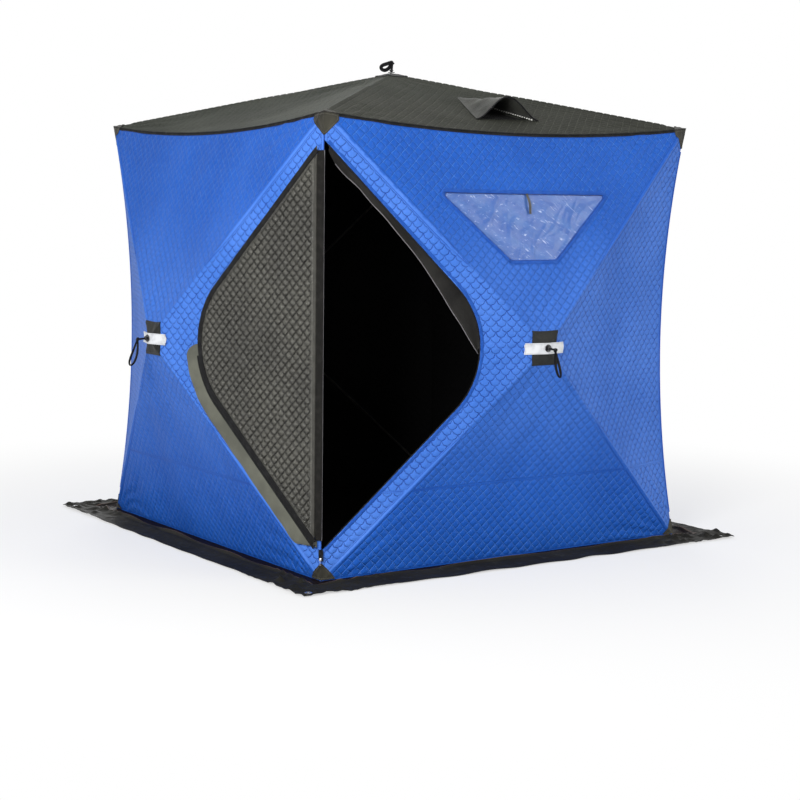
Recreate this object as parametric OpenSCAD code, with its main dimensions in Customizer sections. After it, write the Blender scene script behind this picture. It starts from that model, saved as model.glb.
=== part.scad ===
/* [Shell] */
// Width of the tent between its corner edges
tent_w = 1800; // [1500:10:2200]
// Height of the eaves corners
eaves_h = 1750; // [1500:10:2100]
// Rise of the roof hub above the eaves corners
roof_rise = 235; // [150:5:350]
// Height of the wall hubs
hub_z = 865; // [750:5:1000]
// How far a wall hub stands out of its corners
hub_out = 270; // [180:5:330]
// How far the hub of the doorway wall stands out
door_hub_out = 210; // [180:5:330]
// How far the corner edges bow in at mid height
corner_bow = 80; // [20:5:110]
// How far the eaves sag at mid span
eaves_sag = 50; // [10:5:80]
// Thickness of the quilted cloth
cloth_t = 6; // [4:0.5:9]

/* [Doorway] */
// Top of the doorway on the corner edge
door_top = 1650; // [1450:5:1680]
// Foot of the doorway on the corner edge
door_foot = 115; // [90:5:250]
// Reach of the doorway's point before it is rounded
door_reach = 780; // [600:5:800]
// Radius of the doorway's rounded point
door_round = 330; // [150:5:360]
// Gap round the closed door leaf
door_gap = 6; // [5:0.5:12]
// Width of the storm flap on the lower edge of the leaf
leaf_flap_w = 75; // [40:5:90]
// Thickness of the storm flaps
flap_t = 3; // [2:0.5:4]
// How far the fold line of the leaf stands outside the corner edge
fold_out = 10; // [9:0.5:14]

/* [Window] */
// Half width of the window at its top
window_top = 410; // [200:5:440]
// Half width of the window at its foot
window_foot = 112; // [60:2:180]
// Height of the top of the window
window_head = 1464; // [1350:2:1500]
// Height of the foot of the window
window_sill = 1208; // [1100:2:1300]
// Thickness of the clear sheet
pane_t = 1.5; // [1:0.5:2]

/* [Roof vent] */
// Place of the vent to the right of the roof panel's middle
vent_x = 98; // [-100:2:120]
// Distance of the vent's mouth from the middle of the tent
vent_mouth = 705; // [600:5:740]
// Length of the vent up the roof
vent_len = 334; // [200:2:400]
// Width of the vent's mouth
vent_w = 316; // [200:2:360]
// Height of the vent hood's arch
vent_rise = 94; // [50:2:130]

/* [Skirt] */
// Width of the snow skirt on the ground
skirt_w = 190; // [120:5:260]
// Thickness of the snow skirt
skirt_t = 4; // [3:0.5:6]
// Distance of an eyelet's middle from both edges of the skirt's corner
eyelet_inset = 47.5; // [30:0.5:60]
// Outer diameter of the eyelets
eyelet_d = 30; // [24:1:40]
// Bore of the eyelets
eyelet_bore = 12; // [8:1:13]
// Thickness of the eyelets' rims
eyelet_t = 1.5; // [1:0.5:2]

/* [Frame] */
// Diameter of the glass fibre poles
pole_d = 11; // [8:0.5:14]
// Diameter of the hubs that hold the poles
hub_d = 76; // [60:2:90]
// Depth of the hubs
hub_t = 26; // [20:1:34]

/* [Trim] */
// Half width of the black patch over a hub
patch_w = 52; // [40:2:70]
// Half height of the black patch over a hub
patch_h = 67; // [56:2:90]
// Length of the pale strip over a hub
strip_w = 170; // [120:2:220]
// Width of the pale strip over a hub
strip_h = 44; // [30:2:50]
// How far a wall's pull loop stands out from its bolt
loop_out = 62; // [40:1:80]
// How far a wall's pull loop hangs below its bolt
loop_drop = 58; // [40:1:80]
// How high the roof's pull loop stands above its bolt
loop_rise = 32; // [25:1:45]
// Width of the pull loops
loop_w = 18; // [12:1:24]
// Thickness of the pull loops
loop_t = 2.5; // [2:0.5:3]
// Length of the corner patches down the corner edge
corner_patch_l = 80; // [50:5:120]
// Width of the corner patches along a wall
corner_patch_w = 70; // [40:5:100]

/* [Hidden] */
half = tent_w / 2;
core = [0, 0, eaves_h / 2];
core_reach = (half + hub_out) * cos(atan(hub_out / half));
// Straight stretches along each edge of a panel
steps = 8;
// Clearance between pieces that sit against each other
seat = 0.3;
// How far a cutting shape runs past what it cuts
over = 1;
// Each panel starts at this share of the way from its hub to its edge
hub_hole = 0.03;
// Poles run this far inside the cloth, stop short of the corners and enter the hubs
pole_clear = 2;
pole_inset = cloth_t + pole_d / 2 + pole_clear;
pole_stop = 40;
roof_pole_stop = 60;
pole_grip = 18;
// Steepest slope of the cloth beside a hub, and the room that a hub needs behind it
bow_in = corner_bow / sqrt(2);
hub_slope = (max(hub_out, door_hub_out) + bow_in) / (half - bow_in);
hub_clear = 1;
hub_depth = cloth_t + hub_d / 2 * hub_slope + hub_clear;
boss_clear = 4;
boss_d = 2 * (hub_hole * min(half, hub_z, eaves_h - hub_z) - boss_clear);
boss_depth = boss_d / 2 * hub_slope + seat;
// What is bolted on over a hub
bolt_d = 10;
washer_d = 30;
washer_t = 2;
patch_t = 2;
strip_t = 1.2;
patch_bore = (bolt_d / 2 + seat) / patch_w;
strip_bore_d = bolt_d + 1;
// Depth of the window and vent sheets in the cloth
sheet_depth = 2;
mesh_t = 1.5;
FRONT = 0;
RIGHT = 1;
BACK = 2;
LEFT = 3;

blue = [0.16, 0.38, 0.86];
dark = [0.25, 0.26, 0.23];
black = [0.08, 0.08, 0.09];

// A point moved depth millimetres towards the core of the tent
function sunk(p, depth) = p + (core - p) * depth / core_reach;

// How far the hub of a wall stands out
function out_of(side) = side == FRONT ? door_hub_out : hub_out;

// Hub of a wall, in the frame of the front wall
function hub_point(side) = [0, -half - out_of(side), hub_z];

// The corner edge at the doorway is straight and the others bow in
function bow_at(side, right) = (side == FRONT && !right) || (side == LEFT && right) ? 0 : corner_bow;

// Point of a corner edge, from the foot at 0 to the eaves at 1
function corner_point(side, right, v) =
    let (inset = bow_at(side, right) * 4 * v * (1 - v) / sqrt(2))
    [(right ? 1 : -1) * (half - inset), inset - half, v * eaves_h];

// Point of the eaves, from the left corner at 0 to the right corner at 1
function eaves_point(u) = [(2 * u - 1) * half, -half, eaves_h - eaves_sag * 4 * u * (1 - u)];

// Point of the foot of a wall
function foot_point(u) = [(2 * u - 1) * half, -half, 0];

// The row of points close to a hub that matches a row along an edge
function near_hub(hub, row) = [for (p = row) hub + hub_hole * (p - hub)];

// Closed skin between two rows, from the outer rows to the inner rows, or right round as a ring
module skin(outer_a, outer_b, inner_a, inner_b, ring = false) {
    n = len(outer_a);
    spans = [for (i = [0 : ring ? n - 1 : n - 2]) [i, (i + 1) % n]];
    polyhedron(
        points = concat(outer_a, outer_b, inner_a, inner_b),
        faces = concat(
            [for (s = spans) let (i = s[0], j = s[1]) each [
                [i, j, n + j], [i, n + j, n + i],
                [2 * n + i, 3 * n + j, 2 * n + j], [2 * n + i, 3 * n + i, 3 * n + j],
                [j, i, 2 * n + i], [j, 2 * n + i, 2 * n + j],
                [n + i, n + j, 3 * n + j], [n + i, 3 * n + j, 3 * n + i]
            ]],
            ring ? [] : [
                [0, n, 3 * n], [0, 3 * n, 2 * n],
                [2 * n - 1, n - 1, 4 * n - 1], [n - 1, 3 * n - 1, 4 * n - 1]
            ]
        )
    );
}

// Cloth between two rows of its outer face, from one depth to another
module cloth(row_a, row_b, from = 0, to = cloth_t) {
    skin(
        [for (p = row_a) sunk(p, from)], [for (p = row_b) sunk(p, from)],
        [for (p = row_a) sunk(p, to)], [for (p = row_b) sunk(p, to)]
    );
}

// Places what is modelled on the front wall on another wall
module on_wall(side) {
    rotate([0, 0, 90 * side]) children();
}

// Rows run round each hub anticlockwise, seen from outside
eaves_row = [for (i = [0 : steps]) eaves_point(1 - i / steps)];
foot_row = [for (i = [0 : steps]) foot_point(i / steps)];
roof_edge_row = [for (i = [0 : steps]) eaves_point(i / steps)];
function left_row(side) = [for (i = [0 : steps]) corner_point(side, false, 1 - i / steps)];
function right_row(side) = [for (i = [0 : steps]) corner_point(side, true, i / steps)];

module wall_panel(side, row, from = 0, to = cloth_t) {
    cloth(near_hub(hub_point(side), row), row, from, to);
}

// Outline of the window, seen from outside
module window_shape(inset = 0) {
    offset(delta = -inset)
        polygon([
            [-window_foot, window_sill], [window_foot, window_sill],
            [window_top, window_head], [-window_top, window_head]
        ]);
}

// The window's outline as a bar through the wall
module window_bar(inset = 0) {
    translate([0, -half + over, 0])
        rotate([90, 0, 0])
            linear_extrude(height = hub_out + 2 * over)
                window_shape(inset);
}

module upper_panel(side, has_window) {
    color(blue)
        on_wall(side)
            difference() {
                wall_panel(side, eaves_row);
                if (has_window) window_bar();
            }
}

module lower_panel(side) {
    color(blue) on_wall(side) wall_panel(side, foot_row);
}

module left_side_panel(side) {
    color(blue) on_wall(side) wall_panel(side, left_row(side));
}

module right_side_panel(side) {
    color(blue) on_wall(side) wall_panel(side, right_row(side));
}

module window_panes() {
    color([0.8, 0.88, 0.95, 0.5])
        for (side = [FRONT, BACK])
            on_wall(side)
                intersection() {
                    wall_panel(side, eaves_row, sheet_depth, sheet_depth + pane_t);
                    window_bar(seat);
                }
}

// ---- doorway ----
// The doorway lies in the flat panel between the corner edge and the front hub.
// Its outline is drawn in that plane: first the distance from the corner edge, then the height.
door_angle = atan(door_hub_out / half);
left_angle = atan(hub_out / half);
point_v = [door_reach, hub_z];
to_top = ([0, door_top] - point_v) / norm([0, door_top] - point_v);
to_foot = ([0, door_foot] - point_v) / norm([0, door_foot] - point_v);
point_angle = acos(to_top * to_foot);
round_centre = point_v + (to_top + to_foot) / norm(to_top + to_foot) * door_round / sin(point_angle / 2);
top_slant = atan2(to_top[1], -to_top[0]);
foot_slant = atan2(-to_foot[1], -to_foot[0]);
arc_steps = 8;
// How far a storm flap is sewn over its edge, and where the doorway's flap starts beside the corner
seam_lap = 14;
flap_start = 28;

// Outline of the doorway set in by a distance, from its top to its foot
function door_outline(inset) = concat(
    [[0, door_top - inset / cos(top_slant)]],
    [for (i = [0 : 2 * arc_steps])
        let (a = 90 - top_slant - i / (2 * arc_steps) * (180 - top_slant - foot_slant))
        round_centre + (door_round - inset) * [cos(a), sin(a)]],
    [[0, door_foot + inset / cos(foot_slant)]]
);

// A point of the outline in the frame of the tent
function door_world(p) = [-half + p[0] * cos(door_angle), -half - p[0] * sin(door_angle), p[1]];

doorway = door_outline(0);
tip = arc_steps + 1;
door_upper = [for (i = [tip : -1 : 0]) door_world(doorway[i])];
door_lower = [for (i = [len(doorway) - 1 : -1 : tip]) door_world(doorway[i])];

// Corners of the doorway's panel, from the hub to the corner edge
panel_head = [corner_point(FRONT, false, 1), near_hub(hub_point(FRONT), [corner_point(FRONT, false, 1)])[0]];
panel_foot = [corner_point(FRONT, false, 0), near_hub(hub_point(FRONT), [corner_point(FRONT, false, 0)])[0]];
hub_middle = (panel_head[1] + panel_foot[1]) / 2;

// A number of points along a line
function spaced(from, to, count) = [for (i = [0 : count - 1]) from + (to - from) * i / (count - 1)];

module front_wall_above_door() {
    ridge = spaced(panel_head[1], panel_head[0], len(door_upper) - 1);
    color(blue) cloth(door_upper, concat([hub_middle], ridge));
}

module front_wall_below_door() {
    ridge = spaced(panel_foot[0], panel_foot[1], len(door_lower) - 1);
    color(blue) cloth(door_lower, concat(ridge, [hub_middle]));
}

// Places a shape drawn in the plane of the doorway, with its thickness outwards
module in_door_plane(lift) {
    translate([-half, -half, 0])
        rotate([0, 0, -door_angle])
            translate([0, -lift, 0])
                rotate([90, 0, 0])
                    children();
}

// Part of a band round the doorway that lies from its top to its point
module upper_band(outline, closing) {
    polygon(concat(
        [for (i = [0 : tip]) [max(outline[i][0], flap_start), outline[i][1]]],
        closing
    ));
}

// Flap sewn behind the upper edge of the doorway, straight from its top to its point
module doorway_storm_flap() {
    lap = door_outline(-seam_lap);
    edge = door_outline(-over);
    flap_depth = cloth_t + door_gap;
    color(dark) {
        in_door_plane(-flap_depth - flap_t)
            linear_extrude(height = flap_t)
                upper_band(lap, [doorway[tip] - [0, seam_lap], [flap_start, door_top - 3 * seam_lap]]);
        in_door_plane(-flap_depth)
            linear_extrude(height = flap_depth - cloth_t - seat)
                upper_band(lap, [for (i = [tip : -1 : 0]) [max(edge[i][0], flap_start), edge[i][1]]]);
    }
}

// ---- door leaf, modelled closed and swung open about its fold line ----
fold_point = [-half - fold_out / sqrt(2), -half - fold_out / sqrt(2)];
open_turn = 90 + door_angle + left_angle;
leaf_start = 10;
rod_r = 5;
// Lap of the hem's web on the leaf, and how far it wraps the rod
web_lap = 6;
web_wrap = 0.95;
// The hem starts above the flap's sewn band and stops short of the leaf's top
hem_clear = 2;
leaf_foot = door_foot + (leaf_start + web_lap) * tan(foot_slant)
    + (door_gap + seam_lap) / cos(foot_slant) + hem_clear;
leaf_head = door_top - 40;
flap_foot = leaf_foot - 30;

module open_leaf() {
    translate([fold_point[0], fold_point[1], 0])
        rotate([0, 0, open_turn])
            translate([-fold_point[0], -fold_point[1], 0])
                children();
}

module door_leaf() {
    outline = door_outline(door_gap);
    color(dark)
        open_leaf()
            union() {
                in_door_plane(-cloth_t)
                    linear_extrude(height = cloth_t)
                        intersection() {
                            polygon(outline);
                            translate([leaf_start, 0]) square([2 * door_reach, 2 * eaves_h]);
                        }
                leaf_hem();
            }
}

// Round hem on the fold line, joined to the leaf by a web
module leaf_hem() {
    web_end = [-half, -half] + (leaf_start + web_lap) * [cos(door_angle), -sin(door_angle)];
    web_back = web_end + cloth_t / 2 * [sin(door_angle), cos(door_angle)];
    translate([0, 0, leaf_foot])
        linear_extrude(height = leaf_head - leaf_foot)
            union() {
                translate(fold_point) circle(r = rod_r, $fn = 24);
                polygon([fold_point, fold_point - [0, web_wrap * rod_r], web_end, web_back]);
            }
}

// Band along the lower edge of the leaf, between two distances inside the doorway's outline
module lower_band(outside, inside) {
    wide = door_outline(outside);
    narrow = door_outline(inside);
    last = len(wide) - 1;
    intersection() {
        polygon(concat(
            [for (i = [tip - 1 : last]) wide[i]],
            [for (i = [last : -1 : tip - 1]) narrow[i]]
        ));
        translate([leaf_start, flap_foot]) square([2 * door_reach, 2 * eaves_h]);
    }
}

// Storm flap on the outer face of the leaf, sewn down inside the leaf's edge
module door_leaf_flap() {
    color(dark)
        open_leaf() {
            in_door_plane(door_gap)
                linear_extrude(height = flap_t) lower_band(-leaf_flap_w, door_gap + seam_lap);
            in_door_plane(0)
                linear_extrude(height = door_gap) lower_band(door_gap + over, door_gap + seam_lap);
        }
}

// Folded edge of the left wall along the fold line, a hair clear of the leaf's hem
fold_seam_w = 24;
fold_seam_t = 3;
fold_crown = 6;

module door_fold_seam() {
    along = [-sin(left_angle), cos(left_angle)];
    out = [-cos(left_angle), -sin(left_angle)];
    foot = [-half, -half] + seat * out;
    crest = fold_point + (rod_r + 2 * seat) * [1, 1] / sqrt(2);
    color(black)
        translate([0, 0, leaf_foot])
            linear_extrude(height = leaf_head - leaf_foot)
                polygon([
                    foot + along, foot + fold_seam_w * along,
                    foot + fold_crown * along + fold_seam_t * out, crest
                ]);
}

// ---- roof ----
function roof_apex() = [0, 0, eaves_h + roof_rise];

// Height of the roof's front panel over a plan point
function roof_z(x, y) =
    let (v = -y / half, u = (x / v / half + 1) / 2)
    eaves_h + roof_rise - v * (roof_rise + eaves_sag * 4 * u * (1 - u));

module roof_cloth(from = 0, to = cloth_t) {
    cloth(near_hub(roof_apex(), roof_edge_row), roof_edge_row, from, to);
}

// Upright bar with the outline of the vent's hole, inside the hood's foot
vent_margin = 22;

module vent_bar(inset = 0) {
    linear_extrude(height = 2 * eaves_h)
        offset(delta = -inset)
            polygon([
                [vent_x - vent_w / 2 + 2 * vent_margin, -vent_mouth + vent_margin],
                [vent_x + vent_w / 2 - 2 * vent_margin, -vent_mouth + vent_margin],
                [vent_x, -vent_mouth + vent_len - 4 * vent_margin]
            ]);
}

module roof_panel(side) {
    color(dark)
        on_wall(side)
            difference() {
                roof_cloth();
                if (side == FRONT) vent_bar();
            }
}

module vent_mesh() {
    color(black)
        intersection() {
            roof_cloth(sheet_depth, sheet_depth + mesh_t);
            vent_bar(seat);
        }
}

// Height of the hood's arch across its mouth
function arch(t) = vent_rise * (0.5 - 0.5 * cos(360 * t));

// The hood clears the roof's flat facets, and its upper end is narrow and flat
hood_t = 3;
hood_seat = seat + eaves_sag / (steps * steps);
hood_top_w = 24;

module vent_hood() {
    n = 12;
    mouth = [for (i = [0 : n])
        let (x = vent_x + vent_w * (i / n - 0.5))
        [x, -vent_mouth, roof_z(x, -vent_mouth) + arch(i / n) + hood_seat]];
    peak_y = -vent_mouth + vent_len;
    peak = [for (i = [0 : n])
        let (x = vent_x + hood_top_w * (i / n - 0.5))
        [x, peak_y, roof_z(x, peak_y) + hood_seat]];
    lift = [0, 0, hood_t];
    color(dark)
        skin([for (p = peak) p + lift], [for (p = mouth) p + lift], peak, mouth);
}

// ---- snow skirt ----
eyelet_at = half + skirt_w - eyelet_inset;
barrel_wall = 3;
barrel_d = eyelet_bore + 2 * barrel_wall;
skirt_clear = 2;

module skirt_side(side) {
    inner = half + skirt_clear;
    outer = half + skirt_w;
    color(black)
        on_wall(side)
            difference() {
                linear_extrude(height = skirt_t)
                    polygon([[-inner, -inner], [inner, -inner], [outer, -outer], [-outer, -outer]]);
                for (x = [-eyelet_at, eyelet_at])
                    translate([x, -eyelet_at, -over])
                        cylinder(d = barrel_d + 2 * seat, h = skirt_t + 2 * over, $fn = 48);
            }
}

module skirt_eyelets() {
    color("silver")
        for (side = [FRONT : LEFT])
            on_wall(side)
                translate([eyelet_at, -eyelet_at, 0])
                    difference() {
                        union() {
                            cylinder(d = barrel_d, h = skirt_t + eyelet_t, $fn = 48);
                            translate([0, 0, skirt_t]) cylinder(d = eyelet_d, h = eyelet_t, $fn = 48);
                        }
                        translate([0, 0, -over])
                            cylinder(d = eyelet_bore, h = skirt_t + eyelet_t + 2 * over, $fn = 48);
                    }
}

// ---- poles and hubs ----
module rod(from, to, d) {
    v = to - from;
    translate(from)
        rotate([0, acos(v[2] / norm(v)), atan2(v[1], v[0])])
            cylinder(d = d, h = norm(v), $fn = 24);
}

// Ends of one pole of a wall, in the frame of the front wall
function wall_pole(side, sx, sz) =
    let (
        middle = hub_point(side) + [0, hub_depth + hub_t / 2, 0],
        end = [sx * half, -half + pole_inset, sz > 0 ? eaves_h : 0],
        dir = (end - middle) / norm(end - middle)
    )
    [middle + (hub_d / 2 - pole_grip) * dir, end - pole_stop * dir];

module wall_poles(side) {
    color([0.85, 0.85, 0.82])
        on_wall(side)
            for (sx = [-1, 1], sz = [-1, 1])
                let (p = wall_pole(side, sx, sz))
                    rod(p[0], p[1], pole_d);
}

function roof_pole(sx, sy) =
    let (
        middle = roof_apex() - [0, 0, hub_depth + hub_t / 2],
        end = [sx * half, sy * half, eaves_h - pole_inset],
        dir = (end - middle) / norm(end - middle)
    )
    [middle + (hub_d / 2 - pole_grip) * dir, end - roof_pole_stop * dir];

module roof_poles() {
    color([0.85, 0.85, 0.82])
        for (sx = [-1, 1], sy = [-1, 1])
            let (p = roof_pole(sx, sy))
                rod(p[0], p[1], pole_d);
}

// Hub block along +Z, with a boss through the cloth that ends short of the hub's point
module hub_block() {
    translate([0, 0, -hub_depth - hub_t]) cylinder(d = hub_d, h = hub_t, $fn = 48);
    translate([0, 0, -hub_depth]) cylinder(d = boss_d, h = hub_depth - boss_depth, $fn = 48);
}

// Hub of a wall, with a socket for each pole
module wall_hub(side) {
    difference() {
        translate(hub_point(side)) rotate([90, 0, 0]) hub_block();
        for (sx = [-1, 1], sz = [-1, 1])
            let (p = wall_pole(side, sx, sz))
                rod(p[0], p[1], pole_d + 2 * seat);
    }
}

module wall_hubs() {
    color(black)
        for (side = [FRONT : LEFT])
            on_wall(side) wall_hub(side);
}

module roof_hub() {
    color(black)
        difference() {
            translate(roof_apex()) hub_block();
            for (sx = [-1, 1], sy = [-1, 1])
                let (p = roof_pole(sx, sy))
                    rod(p[0], p[1], pole_d + 2 * seat);
        }
}

// ---- trim ----
// Depth of a wall's outer face behind its hub, at a place beside the hub
function fall(side, x, z) =
    max(abs(x) * out_of(side) / half, abs(z) * out_of(side) / (z > 0 ? eaves_h - hub_z : hub_z));

function patch_point(side, x, z, lift) =
    [x, hub_point(side)[1] + fall(side, x, z) - lift, hub_z + z];

// A quarter of the patch's outline from its side to its end: its corner, and where the seam that
// climbs by rise to the tent's corner leaves the patch
function patch_quarter(rise) =
    let (corner = [patch_w, patch_h], crossing = min(patch_w / half, patch_h / rise) * [half, rise])
    crossing[0] < patch_w ? [corner, crossing] : [crossing, corner];

// Black patch that follows the four faces round a hub
module hub_patch(side) {
    upper = patch_quarter(eaves_h - hub_z);
    lower = patch_quarter(hub_z);
    rim = concat(
        upper, [for (p = [upper[1], upper[0]]) [-p[0], p[1]]],
        -lower, [for (p = [lower[1], lower[0]]) [p[0], -p[1]]]
    );
    skin(
        [for (p = rim * patch_bore) patch_point(side, p[0], p[1], seat + patch_t)],
        [for (p = rim) patch_point(side, p[0], p[1], seat + patch_t)],
        [for (p = rim * patch_bore) patch_point(side, p[0], p[1], seat)],
        [for (p = rim) patch_point(side, p[0], p[1], seat)],
        ring = true
    );
}

// Point of the black patch round the top of the roof
function cap_point(x, y, lift) = roof_apex() + [x, y, lift - max(abs(x), abs(y)) * roof_rise / half];

module roof_patch() {
    rim = [[1, -1], [1, 1], [-1, 1], [-1, -1]] * patch_w;
    skin(
        [for (p = rim * patch_bore) cap_point(p[0], p[1], seat + patch_t)],
        [for (p = rim) cap_point(p[0], p[1], seat + patch_t)],
        [for (p = rim * patch_bore) cap_point(p[0], p[1], seat)],
        [for (p = rim) cap_point(p[0], p[1], seat)],
        ring = true
    );
}

module hub_patches() {
    color(black) {
        for (side = [FRONT : LEFT])
            on_wall(side) hub_patch(side);
        roof_patch();
    }
}

module hub_strip(side) {
    lift = 2 * seat + patch_t;
    face = function(x, l) [x, hub_point(side)[1] + abs(x) * out_of(side) / half - l];
    ends = [-strip_w / 2, 0, strip_w / 2];
    bore_h = strip_h / 2;
    difference() {
        translate([0, 0, hub_z - strip_h / 2])
            linear_extrude(height = strip_h)
                polygon(concat(
                    [for (x = ends) face(x, lift)],
                    [for (i = [2 : -1 : 0]) face(ends[i], lift + strip_t)]
                ));
        translate([0, hub_point(side)[1] + bore_h / 2, hub_z])
            rotate([90, 0, 0])
                cylinder(d = strip_bore_d, h = bore_h, $fn = 24);
    }
}

module hub_strips() {
    color("white")
        for (side = [FRONT : LEFT])
            on_wall(side) hub_strip(side);
}

// Bolt along +Z from the hub's boss, with a washer on what lies over the cloth
module hub_bolt(cover) {
    translate([0, 0, -boss_depth]) cylinder(d = bolt_d, h = boss_depth + cover + washer_t, $fn = 24);
    translate([0, 0, cover]) cylinder(d = washer_d, h = washer_t, $fn = 32);
}

wall_cover = 3 * seat + patch_t + strip_t;
roof_cover = 2 * seat + patch_t;

module hub_bolts() {
    color("dimgray") {
        for (side = [FRONT : LEFT])
            on_wall(side)
                translate(hub_point(side)) rotate([90, 0, 0]) hub_bolt(wall_cover);
        translate(roof_apex()) hub_bolt(roof_cover);
    }
}

// Inner radius of a strap loop at its bolt, radius of its bight, and where its opening starts
loop_eye = 1.5;
loop_end = loop_t + loop_eye;
loop_bight = 15;
loop_throat = 0.12;
roof_loop_lean = 8;

// Side view of a strap loop: a small end at the bolt and a round bight
module loop_shape(reach, rise) {
    difference() {
        hull() {
            circle(r = loop_end, $fn = 24);
            translate([reach, rise]) circle(r = loop_bight, $fn = 32);
        }
        hull() {
            translate([reach, rise] * loop_throat) circle(r = loop_eye, $fn = 16);
            translate([reach, rise]) circle(r = loop_bight - loop_t, $fn = 32);
        }
    }
}

module pull_loop(side) {
    lift = wall_cover + washer_t + loop_end + seat;
    translate([-loop_w / 2, hub_point(side)[1] - lift, hub_z])
        rotate([90, 0, -90])
            mirror([0, 0, 1])
                linear_extrude(height = loop_w)
                    loop_shape(loop_out, -loop_drop);
}

module pull_loops() {
    color(black) {
        for (side = [FRONT : LEFT])
            on_wall(side) pull_loop(side);
        translate([-loop_w / 2, 0, roof_apex()[2] + roof_cover + washer_t + loop_end + seat])
            rotate([90, 0, 90])
                linear_extrude(height = loop_w)
                    loop_shape(roof_loop_lean, loop_rise);
    }
}

// Patch wrapped round the end of a corner edge, along the edge's last straight stretch
// How wide the patch still is at its tip, as a share of its width
corner_patch_tip = 0.08;

module corner_patch(side, top) {
    end = corner_point(side, false, top ? 1 : 0);
    inner = corner_point(side, false, top ? 1 - 1 / steps : 1 / steps);
    along = (inner - end) / norm(inner - end);
    k = top ? end : end + 2 * skirt_t * along;
    q = k + corner_patch_l * along;
    here = hub_point(side);
    left_hub = hub_point((side + 3) % 4);
    there = [left_hub[1], -left_hub[0], left_hub[2]];
    a = k + corner_patch_w * (here - k) / norm(here - k);
    b = k + corner_patch_w * (there - k) / norm(there - k);
    ridge = top ? [a, k, b] : [b, k, a];
    low = [for (p = ridge) q + corner_patch_tip * (p - k)];
    cloth(low, ridge, -seat - patch_t, -seat);
}

module corner_patches() {
    color(black)
        for (side = [FRONT : LEFT], top = [false, true])
            on_wall(side) corner_patch(side, top);
}

upper_panel(FRONT, true);  // front_wall_upper
lower_panel(FRONT);  // front_wall_lower
front_wall_above_door();
front_wall_below_door();
right_side_panel(FRONT);  // front_wall_side
upper_panel(LEFT, false);  // left_wall_upper
lower_panel(LEFT);  // left_wall_lower
right_side_panel(LEFT);  // left_wall_door_side
left_side_panel(LEFT);  // left_wall_far_side
upper_panel(BACK, true);  // back_wall_upper
lower_panel(BACK);  // back_wall_lower
right_side_panel(BACK);  // back_wall_left_side
left_side_panel(BACK);  // back_wall_right_side
upper_panel(RIGHT, false);  // right_wall_upper
lower_panel(RIGHT);  // right_wall_lower
left_side_panel(RIGHT);  // right_wall_near_side
right_side_panel(RIGHT);  // right_wall_far_side
roof_panel(FRONT);  // roof_front
roof_panel(LEFT);  // roof_left
roof_panel(BACK);  // roof_back
roof_panel(RIGHT);  // roof_right
skirt_side(FRONT);  // skirt_front
skirt_side(LEFT);  // skirt_left
skirt_side(BACK);  // skirt_back
skirt_side(RIGHT);  // skirt_right
wall_poles(FRONT);  // front_poles
wall_poles(LEFT);  // left_poles
wall_poles(BACK);  // back_poles
wall_poles(RIGHT);  // right_poles
roof_poles();
wall_hubs();
roof_hub();
hub_patches();
hub_strips();
hub_bolts();
pull_loops();
corner_patches();
window_panes();
vent_hood();
vent_mesh();
doorway_storm_flap();
door_fold_seam();
skirt_eyelets();
door_leaf();
door_leaf_flap();
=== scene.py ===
import math

import bpy
import numpy as np
from mathutils import Matrix, Vector


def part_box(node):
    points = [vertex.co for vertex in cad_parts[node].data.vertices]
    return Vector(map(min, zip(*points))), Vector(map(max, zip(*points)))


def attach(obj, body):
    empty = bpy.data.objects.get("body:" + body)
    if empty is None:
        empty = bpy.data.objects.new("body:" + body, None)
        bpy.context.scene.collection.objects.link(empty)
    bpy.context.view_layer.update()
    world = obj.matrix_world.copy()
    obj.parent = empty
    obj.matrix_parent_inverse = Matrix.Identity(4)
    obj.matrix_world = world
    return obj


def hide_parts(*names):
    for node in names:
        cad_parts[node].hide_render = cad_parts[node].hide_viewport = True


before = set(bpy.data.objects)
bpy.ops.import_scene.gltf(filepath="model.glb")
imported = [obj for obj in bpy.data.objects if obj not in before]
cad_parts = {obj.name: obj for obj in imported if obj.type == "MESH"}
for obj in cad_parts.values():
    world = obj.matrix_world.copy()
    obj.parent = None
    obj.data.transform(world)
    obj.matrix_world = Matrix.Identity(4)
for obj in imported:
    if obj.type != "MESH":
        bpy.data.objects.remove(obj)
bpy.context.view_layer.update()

bpy.ops.object.select_all(action="DESELECT")


# ---- Poles ----
# Solid glass fibre rods, four to a wall and four to the roof, drawn with their fibres along them and
# dipped in a thin satin resin. Each is pushed into a socket of its hub.

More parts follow.
